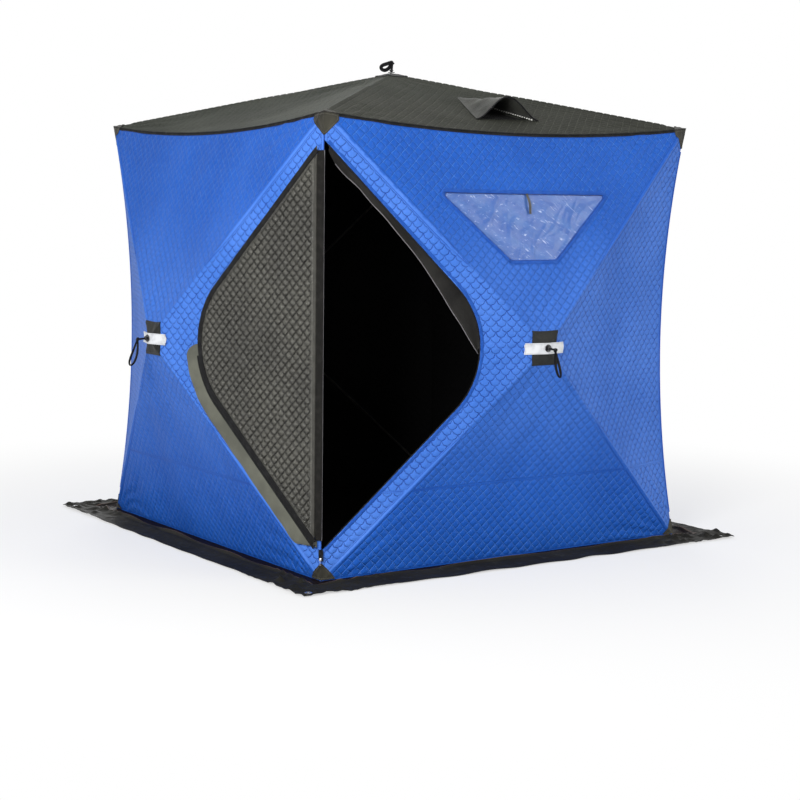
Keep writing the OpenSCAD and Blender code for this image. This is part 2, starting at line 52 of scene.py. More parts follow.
class Finish:
    """A procedural finish: one shader, with short calls that add a node or set one of its sockets"""

    def __init__(self, name, **plain):
        self.material = bpy.data.materials.new(name)
        self.material.use_nodes = True
        self.tree = self.material.node_tree
        self.shader = self.tree.nodes["Principled BSDF"]
        for socket, value in plain.items():
            self.shader.inputs[socket.replace("_", " ")].default_value = value

    def put(self, value, socket):
        if isinstance(value, bpy.types.NodeSocket):
            self.tree.links.new(value, socket)
        else:
            socket.default_value = value

    def add(self, kind, inputs, output=0, **settings):
        node = self.tree.nodes.new("ShaderNode" + kind)
        for name, value in settings.items():
            setattr(node, name, value)
        for name, value in inputs.items():
            self.put(value, node.inputs[name])
        return node.outputs[output]

    def place(self, stretch=(1, 1, 1), turn=(0, 0, 0)):
        """Place on the object in metres, stretched and turned"""
        here = self.add("TexCoord", {}, output=3)
        return self.add("Mapping", {"Vector": here, "Scale": stretch, "Rotation": turn})

    def layout(self, name):
        """Two coordinates that follow the cloth, together and apart"""
        both = self.add("UVMap", {}, uv_map=name)
        split = self.tree.nodes.new("ShaderNodeSeparateXYZ")
        self.tree.links.new(both, split.inputs[0])
        return both, split.outputs[0], split.outputs[1]

    def noise(self, where, scale, detail=2.0, roughness=0.5):
        inputs = {"Vector": where, "Scale": scale, "Detail": detail, "Roughness": roughness}
        return self.add("TexNoise", inputs)

    def calc(self, operation, a, b=0.0, c=0.0):
        return self.add("Math", {0: a, 1: b, 2: c}, operation=operation)

    def times(self, a, b):
        return self.calc("MULTIPLY", a, b)

    def apart(self, a, b):
        """How far apart two values are"""
        return self.calc("ABSOLUTE", self.calc("SUBTRACT", a, b))

    def wave(self, value, rate):
        """Sine of a value at a rate"""
        return self.calc("SINE", self.times(value, rate))

    def stitches(self, run, rate, share):
        """1 on each stitch along a run and 0 between them"""
        return self.calc("LESS_THAN", self.calc("FRACT", self.times(run, rate)), share)

    def ramp(self, value, low, high, start=0.0, end=1.0):
        """Smooth step from start to end as the value goes from low to high"""
        inputs = {0: value, 1: low, 2: high, 3: start, 4: end}
        return self.add("MapRange", inputs, interpolation_type="SMOOTHSTEP")

    def shade(self, share, first, second):
        """Colour between two, by a share"""
        return self.add("Mix", {0: share, 6: first, 7: second}, output=2, data_type="RGBA")

    def relief(self, height, depth, under=None):
        """Bump of a height map that stands out by a depth in metres, over another bump"""
        inputs = {"Height": height, "Distance": depth, "Strength": 1.0}
        if under is not None:
            inputs["Normal"] = under
        return self.add("Bump", inputs)

    def set(self, **linked):
        for socket, value in linked.items():
            self.put(value, self.shader.inputs[socket.replace("_", " ")])
        return self.material


def colour(red, green, blue):
    """Linear colour of a red, green and blue from 0 to 255"""
    def linear(level):
        level /= 255
        return level / 12.92 if level <= 0.04045 else ((level + 0.055) / 1.055) ** 2.4
    return linear(red), linear(green), linear(blue), 1.0


def dress(node, material):
    """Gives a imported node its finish"""
    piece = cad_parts[node]
    piece.data.materials.clear()
    piece.data.materials.append(material)


rod = Finish("glass_fibre", Roughness=0.38, Coat_Weight=0.3, Coat_Roughness=0.25)
streaks = rod.noise(rod.place((9, 9, 1.2)), 60, 4)
mottle = rod.noise(rod.place(), 14, 3)
resin = rod.shade(rod.ramp(streaks, 0.35, 0.7), colour(88, 87, 82), colour(108, 106, 100))
rod.set(
    Base_Color=rod.shade(rod.ramp(mottle, 0.45, 0.75, 0.0, 0.35), resin, colour(70, 68, 62)),
    Roughness=rod.ramp(streaks, 0.3, 0.7, 0.32, 0.46),
    Normal=rod.relief(streaks, 0.0003),
)
for wall in ("front", "left", "back", "right", "roof"):
    dress(wall + "_poles", rod.material)


# ---- Hubs ----
# Black moulded nylon blocks with a socket for each pole and a boss through the cloth. The moulding has
# a fine spark-eroded grain and is a little rubbed where the poles work in it.

nylon = Finish("hub_nylon", Roughness=0.5, Specular_IOR_Level=0.45)
grain = nylon.noise(nylon.place(), 900, 3)
rubs = nylon.noise(nylon.place(), 45, 4)
nylon.set(
    Base_Color=nylon.shade(nylon.ramp(rubs, 0.5, 0.75), colour(27, 27, 29), colour(46, 46, 48)),
    Roughness=nylon.ramp(rubs, 0.35, 0.75, 0.58, 0.4),
    Normal=nylon.relief(grain, 0.0002),
)
dress("wall_hubs", nylon.material)
dress("roof_hub", nylon.material)


# ---- Walls ----
# Each wall is one sheet of quilted cloth, pushed out at its hub and drawn in along its edges, with a
# plain sleeve for each pole and a lapped seam near the ground. Outside it is blue, inside black.

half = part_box("front_wall_lower")[1].x
eaves_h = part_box("front_wall_upper")[1].z
strip_low, strip_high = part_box("hub_strips")
hub_z = (strip_low.z + strip_high.z) / 2
hub_hole = 0.03
hub_out = (-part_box("left_wall_lower")[0].x - half) / (1 - hub_hole)
door_hub_out = (-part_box("front_wall_lower")[0].y - half) / (1 - hub_hole)
roof_rise = (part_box("roof_front")[1].z - eaves_h) / (1 - hub_hole)
corner_bow = 0.080
eaves_sag = 0.050
cloth_t = 0.006
core = np.array([0, 0, eaves_h / 2])
core_reach = (half + hub_out) * math.cos(math.atan(hub_out / half))
SIDES = FRONT, RIGHT, BACK, LEFT = range(4)
outs = (door_hub_out, hub_out, hub_out, hub_out)
straight_right = (False, False, False, True)
straight_left = (True, False, False, False)

# The cloth is drawn on a square grid. A quilting cell is a diamond, reach steps from middle to corner.
grid = 252
reach = 3
lining_grid = grid // (2 * reach)
step = 2 * half / grid


def lifted(points, height):
    """Points moved outwards, away from the middle of the hut"""
    return points + (points - core) * np.asarray(height)[..., None] / core_reach


def turned(side, points):
    """Points of the front wall, turned to another wall"""
    cosine, sine = ((1, 0), (0, 1), (-1, 0), (0, -1))[side]
    x, y, z = np.moveaxis(points, -1, 0)
    return np.stack([x * cosine - y * sine, x * sine + y * cosine, z], -1)


def taut(across, along, depth=0.007):
    """How far cloth between two poles is pulled in"""
    return -depth * (1 - across ** 2) * 4 * along * (1 - along)


def corner_inset(side, right, v):
    """How far the corner edge of a wall bows in, on each axis, from its foot at 0 to the eaves at 1"""
    straight = np.where(right, straight_right[side], straight_left[side])
    return (1 - straight) * corner_bow * 4 * v * (1 - v) / math.sqrt(2)


def wall_surface(side, s, t):
    """Outer face of a wall over the square from -1 to 1, without its quilting"""
    m = np.maximum(np.maximum(abs(s), abs(t)), 1e-6)
    a, b = s / m, t / m
    v = (b + 1) / 2
    inset = corner_inset(side, s > 0, v)
    upright = abs(s) >= abs(t)
    edge_x = np.where(upright, np.sign(s) * (half - inset), a * half)
    edge_y = np.where(upright, inset - half, -half)
    eaves = eaves_h - eaves_sag * (1 - a ** 2)
    edge_z = np.where(upright, v * eaves_h, np.where(t > 0, eaves, 0))
    hub = np.array([0, -half - outs[side], hub_z])
    points = hub + m[..., None] * (np.stack([edge_x, edge_y, edge_z], -1) - hub)
    in_doorway_plane = (side == FRONT) & upright & (s < 0)
    return lifted(points, np.where(in_doorway_plane, 0, taut(np.where(upright, b, a), m)))


def pillow(i, j):
    """Quilting over grid steps from the middle: 0 on the stitched lines and 1 amid a cell"""
    p, q = (i + j) / (2 * reach), (i - j) / (2 * reach)
    return np.sqrt(abs(np.cos(np.pi * p) * np.cos(np.pi * q))), p, q


def cell_share(p, q, seed, least=0.65):
    """A random share for each quilting cell"""
    table = np.random.default_rng(seed).uniform(least, 1.15, (211, 199))
    return table[np.round(p).astype(int) % 211, np.round(q).astype(int) % 199]


def fade(distance, start, end):
    """Smooth step over a distance"""
    x = np.clip((distance - start) / (end - start), 0, 1)
    return x * x * (3 - 2 * x)


def ripples(x, y, length, seed, count=14):
    """Gentle random unevenness with about this wavelength, from -1 to 1"""
    random = np.random.default_rng(seed)
    total = 0
    for turn, phase, size in random.uniform(0, 1, (count, 3)):
        angle, rate = 2 * np.pi * turn, 2 * np.pi / (length * (0.7 + 0.8 * size))
        total = total + np.sin(rate * (x * np.cos(angle) + y * np.sin(angle)) + 2 * np.pi * phase)
    return total / math.sqrt(count) * 0.8


def lay_out(mesh, title, values):
    """A layout of a mesh, from two coordinates for every point"""
    points = np.zeros(len(mesh.loops), int)
    mesh.loops.foreach_get("vertex_index", points)
    layer = mesh.uv_layers.new(name=title)
    layer.data.foreach_set("uv", values[points].astype(np.float32).ravel())


def new_piece(name, points, faces, layouts, materials):
    """A mesh piece at the origin. Each layout gives two coordinates for every point"""
    mesh = bpy.data.meshes.new(name)
    mesh.from_pydata(np.asarray(points).reshape(-1, 3).tolist(), [], faces)
    for title, values in layouts.items():
        lay_out(mesh, title, values)
    for material in materials:
        mesh.materials.append(material)
    piece = bpy.data.objects.new(name, mesh)
    bpy.context.scene.collection.objects.link(piece)
    return piece


def quilted_sheet(name, outer, inner, layouts, materials):
    """A closed sheet of cloth: a fine face whose triangles follow the quilting, a plain lining behind
    it, and its edges"""
    n, m = outer.shape[0] - 1, outer.shape[1] - 1
    coarse_n, coarse_m = inner.shape[0] - 1, inner.shape[1] - 1
    ratio = n // coarse_n
    index = np.arange((n + 1) * (m + 1)).reshape(n + 1, m + 1)
    lining = index.size + np.arange((coarse_n + 1) * (coarse_m + 1)).reshape(coarse_n + 1, coarse_m + 1)
    j, i = np.meshgrid(np.arange(m), np.arange(n))
    a, b, c, d = index[:-1, :-1], index[1:, :-1], index[1:, 1:], index[:-1, 1:]
    i, j = i - n // 2, j - m // 2
    rising = ((i - j) % (2 * reach) == reach) | (i == j)
    falling = ((i + j + 1) % (2 * reach) == reach) | (i + j + 1 == 0)
    pick = (rising | (~falling & ((i < 0) == (j < 0))))[..., None]
    first = np.where(pick, np.stack([a, b, c], -1), np.stack([a, b, d], -1))
    second = np.where(pick, np.stack([a, c, d], -1), np.stack([b, c, d], -1))
    faces = np.concatenate([first.reshape(-1, 3), second.reshape(-1, 3)]).tolist()
    face_count = len(faces)
    a, b, c, d = lining[:-1, :-1], lining[1:, :-1], lining[1:, 1:], lining[:-1, 1:]
    faces += np.stack([a, d, c, b], -1).reshape(-1, 4).tolist()
    rims = (
        (index[:, 0], lining[:, 0]), (index[-1, :], lining[-1, :]),
        (index[::-1, -1], lining[::-1, -1]), (index[0, ::-1], lining[0, ::-1]),
    )
    for fine, plain in rims:
        for k in range(len(plain) - 1):
            run = fine[k * ratio:(k + 1) * ratio + 1].tolist()
            faces.append([plain[k + 1], *reversed(run[1:]), run[0], plain[k]])
    points = np.concatenate([outer.reshape(-1, 3), inner.reshape(-1, 3)])
    values = {
        title: np.concatenate([fine.reshape(-1, 2), plain.reshape(-1, 2)])
        for title, (fine, plain) in layouts.items()
    }
    piece = new_piece(name, points, faces, values, materials)
    inside = np.arange(len(piece.data.polygons)) >= face_count
    piece.data.polygons.foreach_set("material_index", inside.astype(np.int32))
    return piece


def select_only(piece):
    bpy.ops.object.select_all(action="DESELECT")
    piece.select_set(True)
    bpy.context.view_layer.objects.active = piece


def smooth(piece, degrees=50):
    """Smooth shading, with edges sharper than this angle kept"""
    select_only(piece)
    bpy.ops.object.shade_smooth_by_angle(angle=math.radians(degrees))


def quilt_finish(name, bases, lines, glint, rise=0.0011, crease=0.0007, line_width=0.07, **plain):
    """Quilted cloth: scalloped stitch lines, small puckers, a fine weave, and plain stitched seams. The first
    colours are for panels that face up or down, the last ones for those that face sideways, where a lighter
    colour is a painted sheen. The line colours are painted highlight and shade along the stitch lines, the
    first for panels that face up or down, the second for those that face sideways; the second is also used
    for the seams and their thread. The glint is a painted highlight on the puckers and along the pole sleeves"""
    cloth = Finish(name, **plain)
    where, p, q = cloth.layout("quilt")
    _, seam_gap, seam_run = cloth.layout("seam")
    _, side_share, sleeve_gap = cloth.layout("panel")
    wander = cloth.times(cloth.calc("SUBTRACT", cloth.noise(where, 1.3, 3), 0.5), 0.22)
    offs = []
    for axis, other, sag in ((p, q, 0.062), (q, p, -0.062)):
        turn = cloth.calc("COSINE", cloth.times(other, 2 * math.pi))
        arc = cloth.times(cloth.calc("MULTIPLY_ADD", turn, sag, sag), side_share)
        moved = cloth.calc("ADD", cloth.calc("ADD", axis, wander), arc)
        offs.append(cloth.apart(cloth.calc("FRACT", moved), 0.5))
    off_line = cloth.calc("MINIMUM", *offs)
    quilted = cloth.ramp(seam_gap, 0.0135, 0.016)
    patchy = cloth.ramp(cloth.noise(where, 0.9, 4, 0.7), 0.38, 0.62, 0.35, 1.0)
    painted_line_share = cloth.times(cloth.ramp(off_line, line_width * 0.25, line_width, 1.0, 0.0), quilted)
    groove = cloth.times(cloth.ramp(off_line, 0.015, 0.11, 1.0, 0.0), quilted)
    puckers = cloth.noise(where, 3.1, 5, 0.62)
    folds = cloth.noise(cloth.add("Mapping", {"Vector": where, "Scale": (1.0, 4.5, 1.0)}), 1.6, 4, 0.6)
    cushion = cloth.times(cloth.calc("POWER", cloth.times(*offs), 0.4), quilted)
    weave = cloth.times(
        cloth.wave(cloth.calc("ADD", p, q), 260.0), cloth.wave(cloth.calc("SUBTRACT", p, q), 260.0))
    beside = cloth.apart(seam_gap, 0.0115)
    thread = cloth.times(
        cloth.ramp(beside, 0.0006, 0.0016, 1.0, 0.0), cloth.stitches(seam_run, 230.0, 0.72))
    tone = cloth.ramp(cloth.noise(cloth.place(), 3.1, 3), 0.3, 0.7)
    # Sideways panels take the last two base colours; where these are lighter, it is a painted sheen
    body = cloth.shade(side_share, cloth.shade(tone, *bases[:2]), cloth.shade(tone, *bases[2:]))
    # Stitch line colour by the panel share: painted highlight on panels that face up or down, painted shade
    # on those that face sideways
    line = cloth.shade(side_share, lines[0], lines[1])
    # Painted highlight: the crests of the puckers are mixed towards the glint colour
    body = cloth.shade(cloth.ramp(puckers, 0.52, 0.8, 0.0, 0.35), body, glint)
    # Painted highlight along the smooth pole sleeves
    body = cloth.shade(cloth.ramp(sleeve_gap, 0.004, 0.0135, 0.06, 0.0), body, glint)
    # The stitch lines take that painted highlight and shade, at random strength
    body = cloth.shade(cloth.times(cloth.times(painted_line_share, patchy), 0.85), body, line)
    sewn = cloth.times(cloth.ramp(seam_gap, 0.002, 0.005, 0.7, 0.0), cloth.ramp(sleeve_gap, 0.012, 0.02))
    body = cloth.shade(sewn, body, lines[1])
    body = cloth.shade(cloth.times(thread, 0.75), body, lines[1])
    bumps = cloth.relief(cloth.calc("SUBTRACT", cushion, cloth.times(groove, 0.8)), rise)
    for height, depth in ((puckers, crease), (folds, crease), (thread, 0.0005), (weave, 0.00004)):
        bumps = cloth.relief(height, depth, bumps)
    cloth.set(
        Base_Color=body,
        Roughness=cloth.ramp(puckers, 0.3, 0.8, plain["Roughness"] + 0.06, plain["Roughness"] - 0.1),
        Normal=bumps,
    )
    return cloth.material


# Blue cloth: the sideways panels are lighter with a painted sheen, the light lines on upper and lower panels
# are painted highlight, the dark lines on sideways panels are painted shade, and the last colour is a painted
# glint
blue_cloth = quilt_finish(
    "blue_cloth",
    (colour(22, 84, 180), colour(30, 93, 192), colour(60, 113, 206), colour(76, 127, 220)),
    (colour(70, 126, 216), colour(18, 54, 148)), colour(112, 158, 244), 0.0024, 0.0012,
    Roughness=0.52, Specular_IOR_Level=0.18,
)
# Black lining: its stitch lines are darker with painted shade and its puckers lighter with a painted glint
lining_black = quilt_finish(
    "black_lining",
    (colour(20, 20, 21), colour(26, 26, 27), colour(20, 20, 21), colour(26, 26, 27)),
    (colour(10, 10, 11), colour(10, 10, 11)), colour(34, 34, 36),
    Roughness=0.7, Specular_IOR_Level=0.2,
)
# Roof cloth: the sideways panels are lighter with a painted sheen, the light lines on front and back panels
# are painted highlight, the dark lines on the sideways ones painted shade, and the last colour is a painted
# glint
dark_cloth = quilt_finish(
    "dark_cloth",
    (colour(47, 48, 43), colour(58, 59, 53), colour(56, 59, 53), colour(68, 71, 64)),
    (colour(86, 88, 79), colour(34, 36, 32)), colour(96, 98, 90), 0.0020, 0.0010,
    Roughness=0.74, Specular_IOR_Level=0.08,
)


def from_ridge(s, t):
    """Distance from the nearest pole sleeve, which fades out towards the hub"""
    m = np.maximum(abs(s), abs(t))
    return abs(abs(s) - abs(t)) * half / math.sqrt(2) + 0.02 * (1 - fade(m, 0.2, 0.55))


def sheet_layouts(s, t, seam):
    """Quilting and seam coordinates of a grid, for the cloth's finish"""
    i, j = s * grid / 2, t * grid / 2
    _, p, q = pillow(i, j)
    ridge = from_ridge(s, t)
    # The panel share sets how much of the sideways look a point takes, with its painted sheen and shaded
    # stitch lines: all of it on the sideways panels, and up to about half near the hub on the others
    near_hub = 0.55 * (1 - fade(np.maximum(abs(s), abs(t)), 0.25, 0.75))
    side_share = np.where(abs(s) > abs(t), 1.0, near_hub)
    return {
        "quilt": np.stack([p, q], -1), "seam": np.stack([seam, (i + j) * step / 2], -1),
        "panel": np.stack([side_share, ridge], -1),
    }


sleeve_reach = 0.0152
low_seam_z = 0.33


def seam_gap_at(s, t, z=None):
    """Distance from the nearest pole sleeve, border or low seam"""
    gap = from_ridge(s, t)
    border = (1 - np.maximum(abs(s), abs(t))) * half
    gap = np.minimum(gap, border)
    return gap if z is None else np.minimum(gap, abs(z - low_seam_z) * 2.4)


def pulled(angle, waves, x, y, seed):
    """Creases that fan out from a point where the cloth is pulled"""
    return np.sin(waves * angle + 2 * ripples(x, y, 0.25, seed))


def cloth_height(s, t, x, y, seed, gap, rise=0.0021):
    """Height of the quilting, the pole sleeves, the seams and the pulls at the hub and the corners"""
    bulge, p, q = pillow(s * grid / 2, t * grid / 2)
    m = np.maximum(abs(s), abs(t))
    ridge = from_ridge(s, t)
    border = (1 - m) * half
    loose = 0.75 + 0.35 * ripples(x, y, 0.5, seed)
    height = rise * bulge * cell_share(p, q, seed) * loose * fade(gap, 0.010, 0.022)
    sleeve = 0.0030 * (1 - fade(ridge, 0.0, 0.0145))
    sleeve -= 0.0009 * np.exp(-((ridge - sleeve_reach) / 0.004) ** 2)
    height += sleeve * fade(m, 0.09, 0.16) * fade(border, 0.0, 0.02)
    height += 0.0018 * ripples(x, y, 0.23, seed + 1) * fade(border, 0.0, 0.12) * fade(ridge, 0.01, 0.09)
    beside_sleeve = fade(ridge, 0.01, 0.05)
    near_hub = fade(m, 0.08, 0.16) * (1 - fade(m, 0.2, 0.6))
    height += 0.0015 * pulled(np.arctan2(t, s), 17, x, y, seed + 2) * near_hub * beside_sleeve
    from_corner = np.hypot(1 - abs(s), 1 - abs(t)) * half
    corner_angle = np.arctan2(1 - abs(t), 1 - abs(s))
    near_corner = fade(from_corner, 0.06, 0.14) * (1 - fade(from_corner, 0.2, 0.6))
    height += 0.0019 * pulled(corner_angle, 22, x, y, seed + 3) * near_corner * beside_sleeve
    return height * fade(m * half, 0.06, 0.085) * fade(from_corner, 0.075, 0.1) * fade(border, 0.0, 0.012)


def spread(across, along, left=-1, foot=0):
    """A grid of so many points each way, from left to 1 and from foot to 1"""
    return np.meshgrid(np.linspace(left, 1, across), np.linspace(foot, 1, along), indexing="ij")


fine_s, fine_t = spread(grid + 1, grid + 1, foot=-1)
plain_s, plain_t = spread(lining_grid + 1, lining_grid + 1, foot=-1)


def both_layouts(fine_gap, plain_gap):
    """Layouts of a fine face and of its lining"""
    fine = sheet_layouts(fine_s, fine_t, fine_gap)
    plain = sheet_layouts(plain_s, plain_t, plain_gap)
    return {title: (fine[title], plain[title]) for title in fine}


def make_wall(name, side):
    outer = wall_surface(side, fine_s, fine_t)
    gap = seam_gap_at(fine_s, fine_t, outer[..., 2])
    height = cloth_height(fine_s, fine_t, outer[..., 0], outer[..., 2], 10 * side + 3, gap)
    lap = (outer[..., 2] - low_seam_z) / 0.006
    height += 0.0011 * np.exp(-((lap - 0.6) ** 2)) * fade((1 - abs(fine_s)) * half, 0.0, 0.02)
    plain = wall_surface(side, plain_s, plain_t)
    layouts = both_layouts(gap, seam_gap_at(plain_s, plain_t))
    inner = lifted(plain, np.full_like(plain_s, -cloth_t))
    wall = quilted_sheet(
        name, turned(side, lifted(outer, height)), turned(side, inner), layouts, [blue_cloth, lining_black])
    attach(wall, "tent")
    return wall


front_wall = make_wall("front_wall", FRONT)
right_wall = make_wall("right_wall", RIGHT)
back_wall = make_wall("back_wall", BACK)
left_wall = make_wall("left_wall", LEFT)
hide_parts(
    "front_wall_upper", "front_wall_lower", "front_wall_above_door",
    "front_wall_below_door", "front_wall_side",
)
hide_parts("right_wall_upper", "right_wall_lower", "right_wall_near_side", "right_wall_far_side")
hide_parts("back_wall_upper", "back_wall_lower", "back_wall_left_side", "back_wall_right_side")
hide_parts("left_wall_upper", "left_wall_lower", "left_wall_door_side", "left_wall_far_side")


# ---- Doorway ----
# A rounded, pointed opening cut in the panel beside the corner, from near the eaves to near the foot.
# Its raw edge is turned in and bound, and half of a coil zip is sewn along it.

door_angle = math.atan(door_hub_out / half)
left_angle = math.atan(hub_out / half)
door_top, door_foot = 1.650, 0.115
door_reach, door_round = 0.780, 0.330
door_gap = 0.006
point = np.array([door_reach, hub_z])
to_top = np.array([0, door_top]) - point
to_foot = np.array([0, door_foot]) - point
to_top /= np.linalg.norm(to_top)
to_foot /= np.linalg.norm(to_foot)
half_point = math.acos(to_top @ to_foot) / 2
bisector = (to_top + to_foot) / np.linalg.norm(to_top + to_foot)
round_centre = point + bisector * door_round / math.sin(half_point)
top_slant = math.atan2(to_top[1], -to_top[0])
foot_slant = math.atan2(-to_foot[1], -to_foot[0])


def along_line(start, end, spacing):
    """Points along a line, without its end"""
    start, end = np.asarray(start, float), np.asarray(end, float)
    count = max(1, round(np.linalg.norm(end - start) / spacing))
    return start + (end - start) * np.arange(count)[:, None] / count


def doorway_line(inset, spacing=0.012):
    """Outline of the doorway, set in by a distance, from its top to its foot. Each point is a distance
    from the corner edge and a height"""
    radius = door_round - inset
    angles = np.arange(math.pi / 2 - top_slant, foot_slant - math.pi / 2, -spacing / door_round)
    arc = round_centre + radius * np.stack([np.cos(angles), np.sin(angles)], -1)
    last = foot_slant - math.pi / 2
    arc_end = round_centre + radius * np.array([math.cos(last), math.sin(last)])
    top = [0, door_top - inset / math.cos(top_slant)]
    foot = [0, door_foot + inset / math.cos(foot_slant)]
    return np.concatenate([
        along_line(top, arc[0], spacing), arc, along_line(arc_end, foot, spacing), [foot],
    ])


def in_doorway(line, lift):
    """Points of the doorway's plane in the frame of the hut, lifted outwards"""
    s, z = line[..., 0], line[..., 1]
    lift = np.broadcast_to(lift, s.shape)
    x = -half + s * math.cos(door_angle) - lift * math.sin(door_angle)
    y = -half - s * math.sin(door_angle) - lift * math.cos(door_angle)
    return np.stack([x, y, z], -1)


doorway_out = np.array([-math.sin(door_angle), -math.cos(door_angle), 0])


def face_outwards(piece):
    """Turns the faces of a closed shape outwards"""
    select_only(piece)
    bpy.ops.object.mode_set(mode="EDIT")
    bpy.ops.mesh.select_all(action="SELECT")
    bpy.ops.mesh.normals_make_consistent(inside=False)
    bpy.ops.object.mode_set(mode="OBJECT")


def bar(near, far):
    """A solid bar between two outlines"""
    n = len(near)
    faces = [[i, (i + 1) % n, n + (i + 1) % n, n + i] for i in range(n)]
    faces += [list(range(n - 1, -1, -1)), list(range(n, 2 * n))]
    piece = new_piece("cutter", np.concatenate([near, far]), faces, {}, [])
    face_outwards(piece)
    return piece


def carve(piece, cutter, operation="DIFFERENCE"):
    """Cuts one solid with another, which is then thrown away"""
    select_only(piece)
    modifier = piece.modifiers.new("cut", "BOOLEAN")
    modifier.solver = "EXACT"
    modifier.operation = operation
    modifier.object = cutter
    bpy.ops.object.modifier_apply(modifier=modifier.name)
    bpy.data.objects.remove(cutter)


opening = doorway_line(0)
opening = np.concatenate([[[-0.1, door_top]], opening, [[-0.1, door_foot]]])
carve(front_wall, bar(in_doorway(opening, 0.06), in_doorway(opening, -0.06)))


def round_section(radius, count=8, squash=1.0):
    """Outline of a cord or a bead: across and outwards"""
    angles = np.arange(count) * 2 * np.pi / count
    return np.stack([radius * np.cos(angles), radius * squash * np.sin(angles)], -1)


def tape_section(width, thickness, count=3):
    """Outline of a tape with soft edges, lying on a surface: across and outwards"""
    across = np.linspace(-0.5, 0.5, count + 2) * width
    under = np.stack([across, np.zeros(count + 2)], -1)
    over = np.stack([across[::-1][1:-1], np.full(count, thickness)], -1)
    return np.concatenate([under, over])


def carried(path, out, section, ring=False):
    """A section carried along a path, with its upper side facing out"""
    path = np.asarray(path, float)
    if ring:
        ahead = np.roll(path, -1, 0) - np.roll(path, 1, 0)
    else:
        ahead = np.gradient(path, axis=0)
    ahead /= np.linalg.norm(ahead, axis=1, keepdims=True)
    out = np.broadcast_to(out, path.shape)
    out = out - ahead * (out * ahead).sum(1, keepdims=True)
    out = out / np.linalg.norm(out, axis=1, keepdims=True)
    across = np.cross(ahead, out)
    section = np.broadcast_to(section, (len(path), *np.shape(section)[-2:]))
    return path[:, None] + section[..., :1] * across[:, None] + section[..., 1:] * out[:, None]


def loft(name, rings, materials, closed=False):
    """A closed skin over a run of rings. It carries the run's length and the way round as a layout"""
    rings = np.asarray(rings)
    n, k = rings.shape[:2]
    index = np.arange(n * k).reshape(n, k)
    along = index if closed else index[:-1]
    ahead = np.roll(index, -1, 0) if closed else index[1:]
    a, b = along, np.roll(along, -1, 1)
    c, d = np.roll(ahead, -1, 1), ahead
    faces = np.stack([a, b, c, d], -1).reshape(-1, 4).tolist()
    if not closed:
        faces += [index[0, ::-1].tolist(), index[-1].tolist()]
    middle = rings.mean(1)
    length = np.concatenate([[0], np.cumsum(np.linalg.norm(np.diff(middle, axis=0), axis=1))])
    sides = np.linalg.norm(rings - np.roll(rings, 1, 1), axis=2).mean(0)
    across = np.cumsum(sides) - sides[0]
    run = np.stack(np.broadcast_arrays(length[:, None], across), -1).reshape(-1, 2)
    piece = new_piece(name, rings, faces, {"run": run}, materials)
    face_outwards(piece)
    smooth(piece, 60)
    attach(piece, "tent")
    return piece


def trim(name, path, out, section, material, ring=False):
    """A tape, cord or bead that follows a path"""
    return loft(name, carried(path, out, section, ring), [material], ring)


def joined(name, pieces):
    """Several like pieces as one"""
    select_only(pieces[0])
    for piece in pieces:
        piece.select_set(True)
    if len(pieces) > 1:
        bpy.ops.object.join()
    pieces[0].name = name
    pieces[0].data.name = name
    return pieces[0]


def webbing_finish(name, base, pale, rib=0.0022, wale=0.0004, **plain):
    """Woven tape: ribs across its run and warp threads along it"""
    tape = Finish(name, **plain)
    _, run, across = tape.layout("run")
    ribs = tape.wave(run, 2 * math.pi / rib)
    warps = tape.wave(across, 2 * math.pi / 0.0013)
    worn = tape.noise(tape.place(), 38, 4)
    tone = tape.shade(tape.ramp(worn, 0.4, 0.75, 0.0, 0.6), base, pale)
    tape.set(
        Base_Color=tape.shade(tape.ramp(ribs, -0.6, 0.9, 0.0, 0.3), tone, pale),
        Roughness=tape.ramp(worn, 0.3, 0.8, plain["Roughness"] + 0.08, plain["Roughness"] - 0.08),
        Normal=tape.relief(warps, wale * 0.3, tape.relief(ribs, wale)),
    )
    return tape.material


black_webbing = webbing_finish(
    "black_webbing", colour(14, 14, 15), colour(34, 34, 36), Roughness=0.6, Specular_IOR_Level=0.15)
blue_welt = webbing_finish(
    "blue_welt", colour(34, 88, 186), colour(60, 112, 206), Roughness=0.55, Specular_IOR_Level=0.15)
zip_tape = webbing_finish(
    "zip_tape", colour(18, 18, 19), colour(36, 36, 37), 0.0016, 0.0002,
    Roughness=0.65, Specular_IOR_Level=0.15)
olive_tape = webbing_finish("olive_tape", colour(70, 68, 60), colour(112, 108, 96), Roughness=0.55)
pale_cord = webbing_finish("pale_piping", colour(126, 124, 128), colour(168, 166, 168), Roughness=0.5)

coil_nylon = Finish("zip_coil", Roughness=0.35, Specular_IOR_Level=0.5)
_, run, _ = coil_nylon.layout("run")
turns = coil_nylon.wave(run, 2 * math.pi / 0.0024)
dusty = coil_nylon.noise(coil_nylon.place(), 70, 3)
coil_nylon.set(
    Base_Color=coil_nylon.shade(coil_nylon.ramp(turns, -0.8, 0.8), colour(14, 14, 15), colour(52, 52, 55)),
    Roughness=coil_nylon.ramp(dusty, 0.3, 0.8, 0.3, 0.5),
    Normal=coil_nylon.relief(turns, 0.0009),
)


def beyond(line, least=0.012):
    """The part of a doorway outline that is at least so far from the corner edge"""
    return line[line[:, 0] >= least]


def edge_strip(name, inset, lift, section, material):
    """A strip that follows the edge of the doorway"""
    strip = trim(name, in_doorway(beyond(doorway_line(inset)), lift), doorway_out, section, material)


edge_strip("doorway_welt", -0.0075, 0.0012, tape_section(0.013, 0.0022), blue_welt)
edge_strip("doorway_binding", 0.0006, -0.0028, round_section(0.0036, 10) * [0.35, 1], zip_tape)
edge_strip("doorway_zip_coil", 0.0022, -0.0030, round_section(0.0013, 8), coil_nylon.material)
edge_strip("doorway_zip_tape", -0.009, -0.0078, tape_section(0.018, 0.0014), zip_tape)


